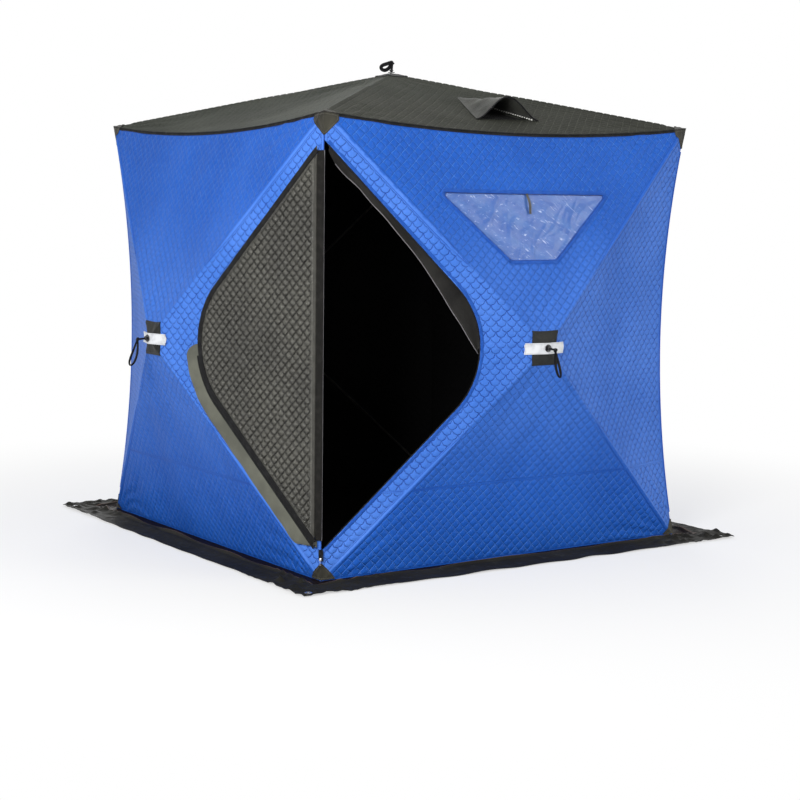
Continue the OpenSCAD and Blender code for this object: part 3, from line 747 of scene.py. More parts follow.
# ---- Windows ----
# A clear vinyl sheet sewn into the upper panel of the front and back walls, creased from folding and coloured
# an almost opaque blue as a painted reflection, with painted glare along its creases. It has a stitched blue
# welt round it, a thin cord of deeper blue in the seam and a strap for its cover.

window_top, window_foot = 0.410, 0.112
window_head, window_sill = 1.464, 1.208
window_corners = np.array([
    [-window_foot, window_sill], [window_foot, window_sill],
    [window_top, window_head], [-window_top, window_head],
])


def unit(v):
    return v / np.linalg.norm(v, axis=-1, keepdims=True)


def grown(corners, by):
    """A convex outline with its corners moved out by a distance"""
    before, after = unit(np.roll(corners, 1, 0) - corners), unit(np.roll(corners, -1, 0) - corners)
    sine = np.sqrt((1 - (before * after).sum(1)) / 2)
    return corners - unit(before + after) * (by / sine)[:, None]


def rounded(corners, radius, spacing=0.012):
    """A closed convex outline with round corners, as points"""
    points = []
    for before, here, after in zip(np.roll(corners, 1, 0), corners, np.roll(corners, -1, 0)):
        u, v = unit(before - here), unit(after - here)
        bend = math.acos(u @ v)
        middle = here + unit(u + v) * radius / math.sin(bend / 2)
        first = here + u * radius / math.tan(bend / 2) - middle
        last = here + v * radius / math.tan(bend / 2) - middle
        sweep = math.pi - bend
        for f in np.linspace(0, 1, 7):
            arm = math.sin((1 - f) * sweep) * first + math.sin(f * sweep) * last
            points.append(middle + arm / math.sin(sweep))
    points = np.array(points)
    return np.concatenate([along_line(p, q, spacing) for p, q in zip(points, np.roll(points, -1, 0))])


def upper_place(x, z):
    """Place on a wall's square of a point of its upper panel, from its x and its height"""
    a = np.zeros_like(x)
    for _ in range(12):
        m = (z - hub_z) / (eaves_h - eaves_sag * (1 - a ** 2) - hub_z)
        a = x / (m * half)
    return m * a, m


def upper_panel_point(side, outline, lift):
    """Points of an outline in x and height, on the upper panel of a wall"""
    s, t = upper_place(outline[..., 0], outline[..., 1])
    return turned(side, lifted(wall_surface(side, s, t), np.broadcast_to(lift, s.shape)))


def upper_out(side):
    return turned(side, unit(np.array([0, hub_z - eaves_h, outs[side]])))


def edge_layouts(points):
    """Distance along and across a sheet, and the gap to its nearest edge"""
    def lengths(grid_points):
        steps_ = np.linalg.norm(np.diff(grid_points, axis=0), axis=2)
        return np.concatenate([np.zeros((1, steps_.shape[1])), np.cumsum(steps_, axis=0)])
    along = lengths(points)
    across = lengths(points.swapaxes(0, 1)).T
    gap = np.minimum(np.minimum(along, along[-1:] - along), np.minimum(across, across[:, -1:] - across))
    run = np.stack([along, across], -1).reshape(-1, 2)
    return {"run": run, "hem": np.stack([gap, along + across], -1).reshape(-1, 2)}


def sewn_sheet(name, face, behind, materials, ring=False, body="tent"):
    """A closed sheet between its face and its back, both as grids of points"""
    n, m = face.shape[:2]
    index = np.arange(n * m).reshape(n, m)
    if ring:
        index = np.concatenate([index, index[:1]])
    other = index + n * m
    quads = [
        np.stack([index[:-1, :-1], index[1:, :-1], index[1:, 1:], index[:-1, 1:]], -1),
        np.stack([other[:-1, :-1], other[:-1, 1:], other[1:, 1:], other[1:, :-1]], -1),
        np.stack([index[:-1, 0], other[:-1, 0], other[1:, 0], index[1:, 0]], -1),
        np.stack([index[:-1, -1], index[1:, -1], other[1:, -1], other[:-1, -1]], -1),
    ]
    if not ring:
        quads.append(np.stack([index[0, :-1], index[0, 1:], other[0, 1:], other[0, :-1]], -1))
        quads.append(np.stack([index[-1, :-1], other[-1, :-1], other[-1, 1:], index[-1, 1:]], -1))
    faces = np.concatenate([q.reshape(-1, 4) for q in quads]).tolist()
    layouts = {title: np.tile(values, (2, 1)) for title, values in edge_layouts(face).items()}
    points = np.concatenate([face.reshape(-1, 3), behind.reshape(-1, 3)])
    piece = new_piece(name, points, faces, layouts, materials)
    face_outwards(piece)
    smooth(piece)
    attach(piece, body)
    return piece


vinyl = Finish("clear_vinyl", Roughness=0.16, Specular_IOR_Level=0.35, Coat_Weight=0.15, Coat_Roughness=0.1)
where = vinyl.layout("run")[0]
slants = []
for stretch, turn in (((30.0, 11.0, 1.0), 0.25), ((13.0, 30.0, 1.0), -0.5)):
    slanted = vinyl.add("Mapping", {"Vector": where, "Scale": stretch, "Rotation": (0, 0, turn)})
    slants.append(vinyl.noise(slanted, 2.2, 6, 0.7))
creases = vinyl.calc("ADD", vinyl.calc("MAXIMUM", *slants), -0.03)
haze = vinyl.noise(where, 9, 3)
glare = vinyl.ramp(creases, 0.56, 0.68)
# Painted reflection: the clear film is coloured an almost opaque blue, and its creases get a painted glare
vinyl_painted_reflection = vinyl.shade(vinyl.ramp(haze, 0.35, 0.7), colour(66, 106, 184), colour(78, 120, 192))
vinyl.set(
    Base_Color=vinyl.shade(glare, vinyl_painted_reflection, colour(196, 212, 240)),
    Alpha=vinyl.ramp(creases, 0.35, 0.7, 0.82, 0.96),
    Roughness=vinyl.ramp(haze, 0.3, 0.7, 0.1, 0.24),
    Normal=vinyl.relief(creases, 0.0030),
)


shaded_cord = webbing_finish("shaded_cord", colour(22, 52, 128), colour(48, 88, 180), Roughness=0.55)


def make_window(name, wall, side, seed):
    corners = rounded(window_corners, 0.008)
    near = np.stack([corners[:, 0], np.full(len(corners), -half + 0.3), corners[:, 1]], -1)
    far = near - [0, 0.3 + outs[side] + 0.1, 0]
    carve(wall, bar(turned(side, near), turned(side, far)))
    u, w = spread(133, 49)
    x = u * (window_foot + (window_top - window_foot) * w + 0.002)
    z = window_sill - 0.001 + (window_head - window_sill + 0.002) * w
    border = np.minimum((1 - abs(u)) * (window_foot + (window_top - window_foot) * w), np.minimum(
        z - window_sill, window_head - z))
    folds = 0
    random = np.random.default_rng(seed)
    for angle, phase, size in random.uniform(0, 1, (9, 3)):
        lean = math.radians(-65 + 130 * angle)
        wave = (x * math.cos(lean) + z * math.sin(lean)) / (0.05 + 0.09 * size) + phase
        bent = np.pi * wave + 0.8 * ripples(x, z, 0.2, seed + 1, 6)
        folds = folds + (0.4 + size) * (1 - abs(np.sin(bent))) ** 5
    height = (0.0007 * folds - 0.0014) * fade(border, 0.0, 0.03)
    height += 0.002 * ripples(x, z, 0.14, seed + 2) * fade(border, 0.0, 0.05)
    plan = np.stack([x, z], -1)
    face = upper_panel_point(side, plan, height - 0.002)
    film = sewn_sheet(name, face, face - upper_out(side) * 0.0008, [vinyl.material])
    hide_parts("window_panes")
    line = rounded(grown(window_corners, 0.009), 0.014)
    welt = trim(
        name + "_welt", upper_panel_point(side, line, 0.0022), upper_out(side),
        tape_section(0.014, 0.002), blue_welt, ring=True)
    line = rounded(grown(window_corners, 0.0012), 0.009)
    cord = trim(
        name + "_seam_cord", upper_panel_point(side, line, 0.0014), upper_out(side),
        round_section(0.0012, 6), shaded_cord, ring=True)
    hang = np.linspace(0, 1, 22)
    strap_line = np.stack([0.004 + 0.006 * np.sin(2.2 * hang), window_head + 0.001 - 0.078 * hang], -1)
    lift = 0.0045 + 0.005 * np.sin(np.pi * hang) ** 2
    strap = trim(
        name + "_strap", upper_panel_point(side, strap_line, lift), upper_out(side),
        tape_section(0.012, 0.0014), olive_tape)


make_window("front_window", front_wall, FRONT, 71)
make_window("back_window", back_wall, BACK, 83)


# ---- Wall seams ----
# Where two walls meet, their edges are sewn into a narrow blue welt from the skirt to the eaves. At the
# doorway's corner it runs only above and below the opening.

def corner_line(side, start, end, count):
    """The left corner edge of a wall, between two shares of its height"""
    v = np.linspace(start, end, count)
    inset = corner_inset(side, False, v)
    return turned(side, np.stack([inset - half, inset - half, v * eaves_h], -1))


seam_runs = [(side, 0.058, 0.945) for side in (RIGHT, BACK, LEFT)]
seam_runs += [(FRONT, (door_top + 0.004) / eaves_h, 0.95), (FRONT, 0.056, (door_foot - 0.003) / eaves_h)]
wall_seams = []
for side, start, end in seam_runs:
    line = corner_line(side, start, end, 8 + round(50 * (end - start)))
    away = turned(side, unit(np.array([-1.0, -1.0, 0.0])))
    wall_seams.append(trim("wall_seam", line + 0.001 * away, away, round_section(0.0026, 8), blue_welt))
wall_seams = joined("wall_seams", wall_seams)

for wall, area in ((front_wall, 2.3), (right_wall, 3.34), (back_wall, 3.2), (left_wall, 3.34)):
    smooth(wall)


# ---- Roof ----
# A low pyramid of quilted grey cloth in four panels over the roof poles, with a plain sleeve along each
# pole. Its edge is sewn to the walls at the eaves.

apex = np.array([0, 0, eaves_h + roof_rise])


def roof_surface(s, t):
    """Outer face of the roof over the square from -1 to 1, without its quilting"""
    m = np.maximum(np.maximum(abs(s), abs(t)), 1e-6)
    a, b = s / m, t / m
    along = np.where(abs(s) >= abs(t), b, a)
    rim = np.stack([a * half, b * half, eaves_h - eaves_sag * (1 - along ** 2)], -1)
    return lifted(apex + m[..., None] * (rim - apex), taut(along, m, 0.004))


outer = roof_surface(fine_s, fine_t)
gap = seam_gap_at(fine_s, fine_t)
height = cloth_height(fine_s, fine_t, outer[..., 0], outer[..., 1], 53, gap, 0.0014)
inner = lifted(roof_surface(plain_s, plain_t), np.full_like(plain_s, -cloth_t))
roof = quilted_sheet(
    "roof", lifted(outer, height), inner, both_layouts(gap, seam_gap_at(plain_s, plain_t)),
    [dark_cloth, lining_black])
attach(roof, "tent")
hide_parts("roof_front", "roof_left", "roof_back", "roof_right")


# ---- Roof vent ----
# A three-cornered hole in the front of the roof, closed with net, one side of it overcast with pale
# thread. A hood of plain cloth stands over it, arched at its mouth by a stiff hem.

vent_x, vent_mouth, vent_len = 0.098, 0.705, 0.334
vent_w, vent_rise, vent_margin, hood_top_w = 0.316, 0.094, 0.022, 0.024
hole = np.array([
    [vent_x - vent_w / 2 + 2 * vent_margin, -vent_mouth + vent_margin],
    [vent_x + vent_w / 2 - 2 * vent_margin, -vent_mouth + vent_margin],
    [vent_x, -vent_mouth + vent_len - 4 * vent_margin],
])


def on_roof(plan, lift):
    """Points of the roof's face over a plan"""
    x, y = plan[..., 0], plan[..., 1]
    return lifted(roof_surface(x / half, y / half), np.broadcast_to(lift, x.shape))


hole_line = rounded(hole, 0.006)
level = np.ones((len(hole_line), 1))
carve(roof, bar(np.hstack([hole_line, level * (eaves_h - 0.1)]), np.hstack([hole_line, level * 2 * eaves_h])))
smooth(roof)


def plain_finish(name, base, pale, stitch, wrinkle=0.0012, sheen=0.1, **plain):
    """Plain woven cloth with soft wrinkles whose crests are lighter with a painted highlight, and a stitched
    hem along its edges
    """
    cloth = Finish(name, Sheen_Weight=sheen, Sheen_Roughness=0.4, **plain)
    _, run, across = cloth.layout("run")
    _, gap, along = cloth.layout("hem")
    here = cloth.place()
    rumple = cloth.noise(here, 26, 5, 0.6)
    broad = cloth.noise(here, 7, 3)
    weave = cloth.times(cloth.wave(run, 5200.0), cloth.wave(across, 5200.0))
    off = cloth.apart(gap, 0.0065)
    thread = cloth.times(cloth.ramp(off, 0.0004, 0.001, 1.0, 0.0), cloth.stitches(along, 260.0, 0.7))
    furrow = cloth.ramp(off, 0.0006, 0.003, 1.0, 0.0)
    tone = cloth.shade(cloth.ramp(broad, 0.35, 0.7), base, pale)
    # Painted highlight: the crests of the wrinkles are mixed towards the pale colour
    tone = cloth.shade(cloth.ramp(rumple, 0.55, 0.8, 0.0, 0.4), tone, pale)
    cloth.set(
        Base_Color=cloth.shade(cloth.times(thread, 0.7), tone, stitch),
        Roughness=cloth.ramp(rumple, 0.3, 0.8, plain["Roughness"] + 0.07, plain["Roughness"] - 0.08),
        Normal=cloth.relief(
            weave, 0.00005, cloth.relief(
                thread, 0.0004, cloth.relief(furrow, -0.0006, cloth.relief(rumple, wrinkle)))),
    )
    return cloth


hood_cloth = plain_finish(
    "hood_cloth", colour(42, 43, 39), colour(58, 59, 53), colour(30, 30, 28),
    Roughness=0.6, Specular_IOR_Level=0.2).material
i, j = spread(49, 41, left=0)
hood_w = vent_w + (hood_top_w - vent_w) * j
plan = np.stack([vent_x + hood_w * (i - 0.5), -vent_mouth + vent_len * j], -1)
arch = 0.5 - 0.5 * np.cos(2 * np.pi * i)
rise = vent_rise * arch ** 0.85 * (1 - j) ** 1.2
rise += 0.002 * ripples(plan[..., 0], plan[..., 1], 0.09, 61) * fade(j, 0.0, 0.2) * arch
face = on_roof(plan, 0.0052) + rise[..., None] * np.array([0, 0, 1])
hood = sewn_sheet("vent_hood_cloth", face, face - [0, 0, 0.0028], [hood_cloth])
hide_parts("vent_hood")
hem_path = face[:, 0] - [0, 0, 0.0014]
hood_hem = trim("vent_hood_hem", hem_path, [0, -0.2, 1], round_section(0.0032, 8), zip_tape)

overcast = Finish("overcast_edge", Roughness=0.6)
stitches = overcast.wave(overcast.layout("run")[1], 2 * math.pi / 0.011)
fray = overcast.noise(overcast.place(), 260, 3)
gaps = overcast.ramp(overcast.calc("ADD", stitches, overcast.times(fray, 0.8)), 0.1, 0.5)
overcast.set(
    Base_Color=overcast.shade(gaps, colour(40, 40, 38), colour(222, 222, 216)),
    Roughness=overcast.ramp(fray, 0.3, 0.7, 0.5, 0.7),
    Normal=overcast.relief(gaps, 0.0008),
)
hole_edge = trim(
    "vent_hole_edge", on_roof(hole_line, 0.0040), [0, -0.25, 1], tape_section(0.009, 0.0016), zip_tape,
    ring=True)
run_start = [vent_x + vent_w / 2 - 0.026, -vent_mouth + 0.006]
run_end = [vent_x + 0.014, hole[2, 1] + 0.012]
overcast_edge = trim(
    "vent_overcast_edge", on_roof(along_line(run_start, run_end, 0.006), 0.0045), [0, -0.25, 1],
    round_section(0.0035, 10), overcast.material)

net = Finish("vent_net", Roughness=0.7)
bars = [net.apart(net.calc("FRACT", net.times(axis, 420.0)), 0.5) for axis in net.layout("run")[1:]]
solid = net.ramp(net.calc("MINIMUM", *bars), 0.14, 0.2, 1.0, 0.0)
slub = net.noise(net.place(), 240, 3)
net.set(
    Base_Color=net.shade(net.ramp(slub, 0.4, 0.7), colour(15, 15, 16), colour(30, 30, 31)),
    Alpha=net.ramp(solid, 0.2, 0.8, 0.55, 1.0),
    Roughness=net.ramp(slub, 0.3, 0.7, 0.6, 0.8),
    Normal=net.relief(solid, 0.0003),
)
i, j = spread(33, 33)
front_half = (hole[1, 0] - hole[0, 0]) / 2
plan = np.stack([
    vent_x + i * (front_half * (1 - j) + 0.001 * j), hole[0, 1] + (hole[2, 1] - hole[0, 1]) * j * 0.985], -1)
slack = -0.0025 - 0.004 * (1 - i ** 2) * np.sin(np.pi * j)
face = on_roof(plan, slack)
vent_net = sewn_sheet("vent_net", face, face - [0, 0, 0.0006], [net.material])
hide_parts("vent_mesh")


# ---- Eaves ----
# The roof is sewn to the walls with a black tape under its edge, and a thin corded welt lies in the seam
# all the way round.

ring_line = []
for side in SIDES:
    a = np.linspace(-1, 1, 61)[:-1]
    rim = np.stack([a * half, np.full(60, -half), eaves_h - eaves_sag * (1 - a ** 2)], -1)
    ring_line.append(turned(side, rim))
ring_line = np.concatenate(ring_line)
eaves_out = unit(ring_line * [1, 1, 0]) + [0, 0, 0.35]
piping = trim(
    "eaves_welt", lifted(ring_line, np.full(240, 0.001)), eaves_out, round_section(0.0026, 8), zip_tape,
    ring=True)
tapes = []
for side in SIDES:
    a = np.linspace(-1, 1, 73)
    m = 0.9925
    line = turned(side, lifted(wall_surface(side, a * m, np.full(73, m)), np.full(73, 0.0005)))
    tapes.append(trim("eaves_tape", line, upper_out(side), tape_section(0.009, 0.0012), zip_tape))
eaves_tape = joined("eaves_tape", tapes)


# ---- Corner patches ----
# Coated grey cloth folded over each end of the corner edges, where the pole tips press on the cloth.
# The eaves ones reach up over the corner of the roof.

coated = plain_finish(
    "coated_cloth", colour(34, 33, 29), colour(72, 70, 60), colour(112, 110, 98), 0.0026,
    Roughness=0.55, Specular_IOR_Level=0.18).material
patch_w, patch_t = 0.062, 0.0018


def make_corner_patch(side, top):
    """A patch folded round the left corner edge of a wall, broad at its end and pointed along the edge"""
    i, j = spread(41, 25)
    from_end = 0.003 + 0.082 * j if top else 0.010 + 0.062 * j
    t = (1 if top else -1) * (1 - 2 * from_end / eaves_h)
    square = 0.28 if top else 0.0
    narrow = 1 - 0.94 * np.clip((j - square) / (1 - square), 0, 1)
    s = 1 - abs(i) * patch_w * narrow / half
    hem = np.minimum(np.minimum(j, 1 - j), 1 - abs(i))
    lift = 0.0024 + 0.0010 * (1 - fade(hem, 0.05, 0.16))
    lift += 0.0011 * np.cos(9 * i + 2 * j) * fade(hem, 0.1, 0.3)
    lift += 0.0014 * (1 - fade(abs(i), 0.0, 0.09)) + 0.0009 * np.exp(-((abs(i) - 0.52) / 0.07) ** 2)
    left = (side + 3) % 4
    here, there = wall_surface(side, -s, t), wall_surface(left, s, t)
    face, behind = [
        np.where((i < 0)[..., None], turned(side, lifted(here, by)), turned(left, lifted(there, by)))
        for by in (lift, lift - patch_t)
    ]
    parts = [sewn_sheet("patch", face, behind, [coated])]
    if top:
        corner = np.array(((-1, -1), (1, -1), (1, 1), (-1, 1))[side])
        i, j = spread(13, 13, left=0)
        plan = corner * (half - 0.066 * np.stack([i * (1 - 0.45 * j), j * (1 - 0.45 * i)], -1))
        face = on_roof(plan, 0.0042 + 0.001 * np.cos(11 * i + 7 * j))
        parts.append(sewn_sheet("patch", face, face - [0, 0, patch_t], [coated]))
    name = "eaves_patch" if top else "foot_patch"
    patch = joined("%s_%d" % (name, side + 1), parts)
    smooth(patch, 60)
    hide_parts("corner_patches")


for side in SIDES:
    make_corner_patch(side, True)
    make_corner_patch(side, False)


# ---- Doorway storm flap ----
# A strip of plain cloth sewn behind the upper edge of the doorway, with a pale cord in its free edge,
# which bows a little from its top to its point. It covers the zip from inside.

flap_cloth = plain_finish(
    "storm_flap_cloth", colour(22, 21, 20), colour(38, 37, 35), colour(74, 72, 68), 0.0032,
    Roughness=0.6, Specular_IOR_Level=0.15).material
tip_z = (round_centre + door_round * np.array([
    math.cos((foot_slant - top_slant) / 2), math.sin((foot_slant - top_slant) / 2)]))[1]


def resampled(line, count):
    """Evenly spaced points along a line"""
    length = np.concatenate([[0], np.cumsum(np.linalg.norm(np.diff(line, axis=0), axis=1))])
    at = np.linspace(0, length[-1], count)
    return np.stack([np.interp(at, length, line[:, k]) for k in range(line.shape[1])], -1)


def upper_edge(inset, count):
    """The doorway's outline from its top to its point"""
    line = doorway_line(inset, 0.003)
    return resampled(line[line[:, 1] >= tip_z], count)


def lower_edge(inset, count, lowest=0.0, nearest=0.0):
    """The doorway's outline from its point to its foot, as far as a height and a distance"""
    line = doorway_line(inset, 0.003)
    line = line[(line[:, 1] <= tip_z) & (line[:, 1] >= lowest) & (line[:, 0] >= nearest)]
    return resampled(line, count)


count = 181
sewn = upper_edge(-0.014, count)
brink = upper_edge(0.004, count)
free = np.linspace([0.050, 1.562], upper_edge(0, 2)[-1] - [0.004, 0.022], count)
f = np.linspace(0, 1, count)
free += (0.036 * np.sin(np.pi * f) + 0.0025 * ripples(f, f * 0, 0.13, 91))[:, None] * np.array([0.75, 0.66])
rows, depths = [], []
for share in (0.0, 0.5, 1.0):
    rows.append(sewn + (brink - sewn) * share)
    depths.append(np.full(count, 0.0064 + 0.0062 * fade(share, 0.3, 1.0)))
for share in np.linspace(0, 1, 15)[1:]:
    row = brink + (free - brink) * share
    rows.append(row)
    slack = 0.0022 * (1 + ripples(row[:, 0], row[:, 1], 0.11, 92)) * math.sin(math.pi * min(share, 0.8))
    depths.append(0.0128 + slack + 0.002 * share)
rows, depths = np.stack(rows, 1), np.stack(depths, 1)
rows[..., 0] = np.maximum(rows[..., 0], 0.024)
face = in_doorway(rows, -depths)
storm_flap = sewn_sheet("storm_flap", face, face - doorway_out * 0.0014, [flap_cloth])
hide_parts("doorway_storm_flap")
edge_cord = trim("storm_flap_piping", face[:, -1], doorway_out, round_section(0.0016, 6), pale_cord)


# ---- Window cover ----
# The back window's cover: plain black cloth hung inside the wall, closed over the window. The front one is
# taken out.

cover_cloth = plain_finish(
    "cover_cloth", colour(20, 20, 22), colour(32, 32, 34), colour(46, 46, 48), 0.0016,
    Roughness=0.65, Specular_IOR_Level=0.2).material
cover_margin = 0.030
u, w = spread(61, 25)
x = u * (window_foot + (window_top - window_foot) * w + cover_margin)
z = window_sill - cover_margin + (window_head - window_sill + 2 * cover_margin) * w
face = upper_panel_point(BACK, np.stack([x, z], -1), -0.0105 + 0.0012 * ripples(x, z, 0.12, 89))
window_cover = sewn_sheet("back_window_cover", face, face - upper_out(BACK) * 0.0014, [cover_cloth])


# ---- Door fold seam ----
# The edge of the left wall beside the doorway, folded over and faced with black webbing, so that the
# leaf's hem bears on it. It runs along the fold line.

fold_out, rod_r, seat = 0.010, 0.005, 0.0003
fold_point = np.array([-half - fold_out / math.sqrt(2), -half - fold_out / math.sqrt(2)])
hem_foot, hem_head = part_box("door_fold_seam")[0].z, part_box("door_fold_seam")[1].z
wall_along = np.array([-math.sin(left_angle), math.cos(left_angle)])
wall_out = np.array([-math.cos(left_angle), -math.sin(left_angle)])


def upright(plan, z):
    """Rings of a strip that stands upright, from its outline in plan at each height"""
    rings = np.zeros((len(z), plan.shape[-2], 3))
    rings[..., :2] = plan
    rings[..., 2] = z[:, None]
    return rings


base_point = np.array([-half, -half]) + seat * wall_out
crest = fold_point + (rod_r + 5 * seat) * np.array([1, 1]) / math.sqrt(2)
web_plan = np.array([
    base_point + 0.004 * wall_along, base_point + 0.024 * wall_along,
    base_point + 0.0238 * wall_along + 0.0012 * wall_out, base_point + 0.021 * wall_along + 0.002 * wall_out,
    base_point + 0.014 * wall_along + 0.0024 * wall_out, base_point + 0.006 * wall_along + 0.003 * wall_out,
    crest,
])
z = np.linspace(hem_foot, hem_head, 121)
swell = 1 + 0.01 * ripples(z, z * 0, 0.05, 95)
middle = web_plan.mean(0)
web_rings = upright(middle + (web_plan - middle) * swell[:, None, None], z)
fold_web = loft("fold_webbing", web_rings, [black_webbing])
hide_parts("door_fold_seam")


# ---- Door leaf ----
# A quilted panel the shape of the doorway, blue outside and olive inside, bound in black tape with the
# other half of the zip. Its hem on the fold line holds a rod, and here it lies folded back.

leaf_turn = math.pi / 2 + door_angle + left_angle
leaf_start = 0.010
leaf_reach = 3
leaf_step = 0.0061


def opened(points):
    """Points of the closed leaf, swung open about the fold line"""
    x, y = points[..., 0] - fold_point[0], points[..., 1] - fold_point[1]
    cosine, sine = math.cos(leaf_turn), math.sin(leaf_turn)
    return np.stack([
        fold_point[0] + x * cosine - y * sine, fold_point[1] + x * sine + y * cosine, points[..., 2]], -1)


leaf_out = opened(np.append(fold_point, 0) + doorway_out) - opened(np.append(fold_point, 0))
# Olive lining: near-black stitch lines of painted shade and a pale painted glint on its puckers
leaf_lining = quilt_finish(
    "leaf_lining",
    (colour(66, 65, 60), colour(82, 81, 74), colour(66, 65, 60), colour(82, 81, 74)),
    (colour(8, 8, 8), colour(8, 8, 8)), colour(212, 211, 198), 0.0105, 0.0046, 0.14,
    Roughness=0.38, Specular_IOR_Level=0.5,
)
count_s, count_z = 113, 260
k_s, k_z = np.meshgrid(np.arange(count_s + 1), np.arange(count_z + 1), indexing="ij")
s, z = 0.002 + k_s * leaf_step, 0.080 + k_z * leaf_step
p, q = (k_s + k_z) / (2 * leaf_reach), (k_s - k_z) / (2 * leaf_reach)
outline = doorway_line(door_gap + 0.001)
outline = outline[outline[:, 0] >= leaf_start]
from_edge = np.full(s.shape, 1.0)
for point_s, point_z in outline:
    from_edge = np.minimum(from_edge, np.hypot(s - point_s, z - point_z))
padded = fade(from_edge, 0.012, 0.030) * fade(s, 0.028, 0.044)
upper_half = (p - np.round(p)) - (q - np.round(q))
bulge = np.sqrt(abs(np.cos(np.pi * p) * np.cos(np.pi * q))) * padded
bow = 0.0025 * fade(s, 0.03, 0.2) * fade(from_edge, 0.02, 0.12) * fade(z, 0.3, 0.7) * (1 - fade(z, 1.0, 1.35))
soft = 0.0009 * ripples(s, z, 0.09, 97)
lining_lift = -0.0036 - 0.0046 * bulge * (1 - 0.4 * upper_half) * cell_share(p, q, 98, 0.75)
lining_lift = lining_lift - bow + soft * padded
blue_lift = -0.0012 + 0.0014 * bulge * cell_share(p, q, 99, 0.8) - bow + soft * padded
plan = np.stack([s, z], -1)
leaf_face = opened(in_doorway(plan, lining_lift))
leaf_back = opened(in_doorway(plan, blue_lift))
n, m = count_s + 1, count_z + 1
index = np.arange(n * m).reshape(n, m)
a, b, c, d = index[:-1, :-1], index[1:, :-1], index[1:, 1:], index[:-1, 1:]
i, j = k_s[:-1, :-1], k_z[:-1, :-1]
rising = (((i - j) % (2 * leaf_reach) == leaf_reach))[..., None]
first = np.where(rising, np.stack([a, b, c], -1), np.stack([a, b, d], -1)).reshape(-1, 3)
second = np.where(rising, np.stack([a, c, d], -1), np.stack([b, c, d], -1)).reshape(-1, 3)
lining_side = np.concatenate([first, second])
blue_side = (lining_side + n * m)[:, ::-1]
rim = np.concatenate([index[:-1, 0], index[-1, :-1], index[:0:-1, -1], index[0, :0:-1]])
rim_quads = np.stack([rim, rim + n * m, np.roll(rim, -1) + n * m, np.roll(rim, -1)], -1)
faces = lining_side.tolist() + blue_side.tolist() + rim_quads.tolist()
seam_gap = np.minimum(from_edge - 0.012, s - 0.026)
layouts = {
    "quilt": np.tile(np.stack([p, q], -1).reshape(-1, 2), (2, 1)),
    "seam": np.tile(np.stack([seam_gap, s + z], -1).reshape(-1, 2), (2, 1)),
    # The leaf takes a little over half of the sideways look: painted sheen and shaded stitch lines on its
    # blue face
    "panel": np.tile([0.6, 0.05], (2 * s.size, 1)),
}
leaf = new_piece(
    "leaf_panel", np.concatenate([leaf_face.reshape(-1, 3), leaf_back.reshape(-1, 3)]), faces, layouts,
    [leaf_lining, blue_cloth])
blue = (np.arange(len(leaf.data.polygons)) >= len(lining_side)).astype(np.int32)
leaf.data.polygons.foreach_set("material_index", blue)
face_outwards(leaf)
carve(leaf, bar(opened(in_doorway(outline, 0.02)), opened(in_doorway(outline, -0.03))), "INTERSECT")
smooth(leaf, 40)
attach(leaf, "leaf")
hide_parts("door_leaf")


def leaf_strip(name, rings, materials):
    strip = loft(name, opened(rings), materials)
    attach(strip, "leaf")
    return strip


bound = doorway_line(door_gap + 0.0095)
bound = bound[bound[:, 0] >= leaf_start + 0.004]
wavy = 0.0008 * ripples(bound[:, 0], bound[:, 1], 0.06, 101)
box_section = np.array([
    [-0.5, -0.32], [-0.38, -0.5], [0, -0.53], [0.38, -0.5], [0.5, -0.32],
    [0.5, 0.32], [0.38, 0.5], [0, 0.5], [-0.38, 0.5], [-0.5, 0.32],
])
leaf_strip("leaf_binding", carried(
    in_doorway(bound, -0.0038 + wavy), doorway_out, box_section * [0.021, 0.0082]), [zip_tape])
coil_line = doorway_line(door_gap - 0.0008)
coil_line = coil_line[coil_line[:, 0] >= leaf_start + 0.004]
leaf_strip("leaf_zip_coil", carried(
    in_doorway(coil_line, -0.0030), doorway_out, round_section(0.0013, 8)),
    [coil_nylon.material])

hem_tape = webbing_finish(
    "hem_tape", colour(22, 21, 20), colour(46, 45, 42), Roughness=0.6, Specular_IOR_Level=0.15)
web_end = np.array([-half, -half]) + 0.020 * np.array([math.cos(door_angle), -math.sin(door_angle)])
web_back = web_end + 0.003 * np.array([math.sin(door_angle), math.cos(door_angle)])
tail = math.atan2(*(web_end - fold_point)[::-1])
round_part = [fold_point + 0.0045 * np.array([math.cos(tail + t), math.sin(tail + t)])
              for t in np.linspace(0.9, 2 * math.pi - 1.1, 13)]
hem_plan = np.array([web_end - [0, 0.0002], web_back, *round_part])
z = np.linspace(hem_foot, hem_head, 121)
swell = 1 + 0.008 * ripples(z, z * 0, 0.04, 103)
swell *= 0.7 + 0.3 * fade(np.minimum(z - hem_foot, hem_head - z), 0.0, 0.03)
hem_rings = upright(fold_point + (hem_plan - fold_point) * swell[:, None, None], z)
leaf_strip("leaf_hem", hem_rings, [hem_tape])
at = fold_point + 0.0041 * np.array([math.cos(-0.6 - leaf_turn), math.sin(-0.6 - leaf_turn)])
leaf_strip("leaf_hem_piping", upright(at + round_section(0.0013, 8), z), [pale_cord])
facing_tape = webbing_finish("facing_tape", colour(56, 55, 50), colour(82, 81, 74), Roughness=0.5)
s_line = np.full(121, 0.0235)
leaf_strip("leaf_facing", carried(
    in_doorway(np.stack([s_line, np.linspace(hem_foot + 0.022, hem_head - 0.03, 121)], -1), -0.0046),
    -doorway_out, tape_section(0.013, 0.0018)), [facing_tape])
tape_line = lower_edge(-0.004, 181, 0.131, 0.011)[9:]
leaf_strip("leaf_zip_tape", carried(
    in_doorway(tape_line, 0.0040), doorway_out, tape_section(0.021, 0.0011)), [zip_tape])


# ---- Zip end ----
# Below the doorway the ends of the two zip tapes are turned under and tacked to the corner seam. The
# zinc slider with its pull hangs there when the door is open.

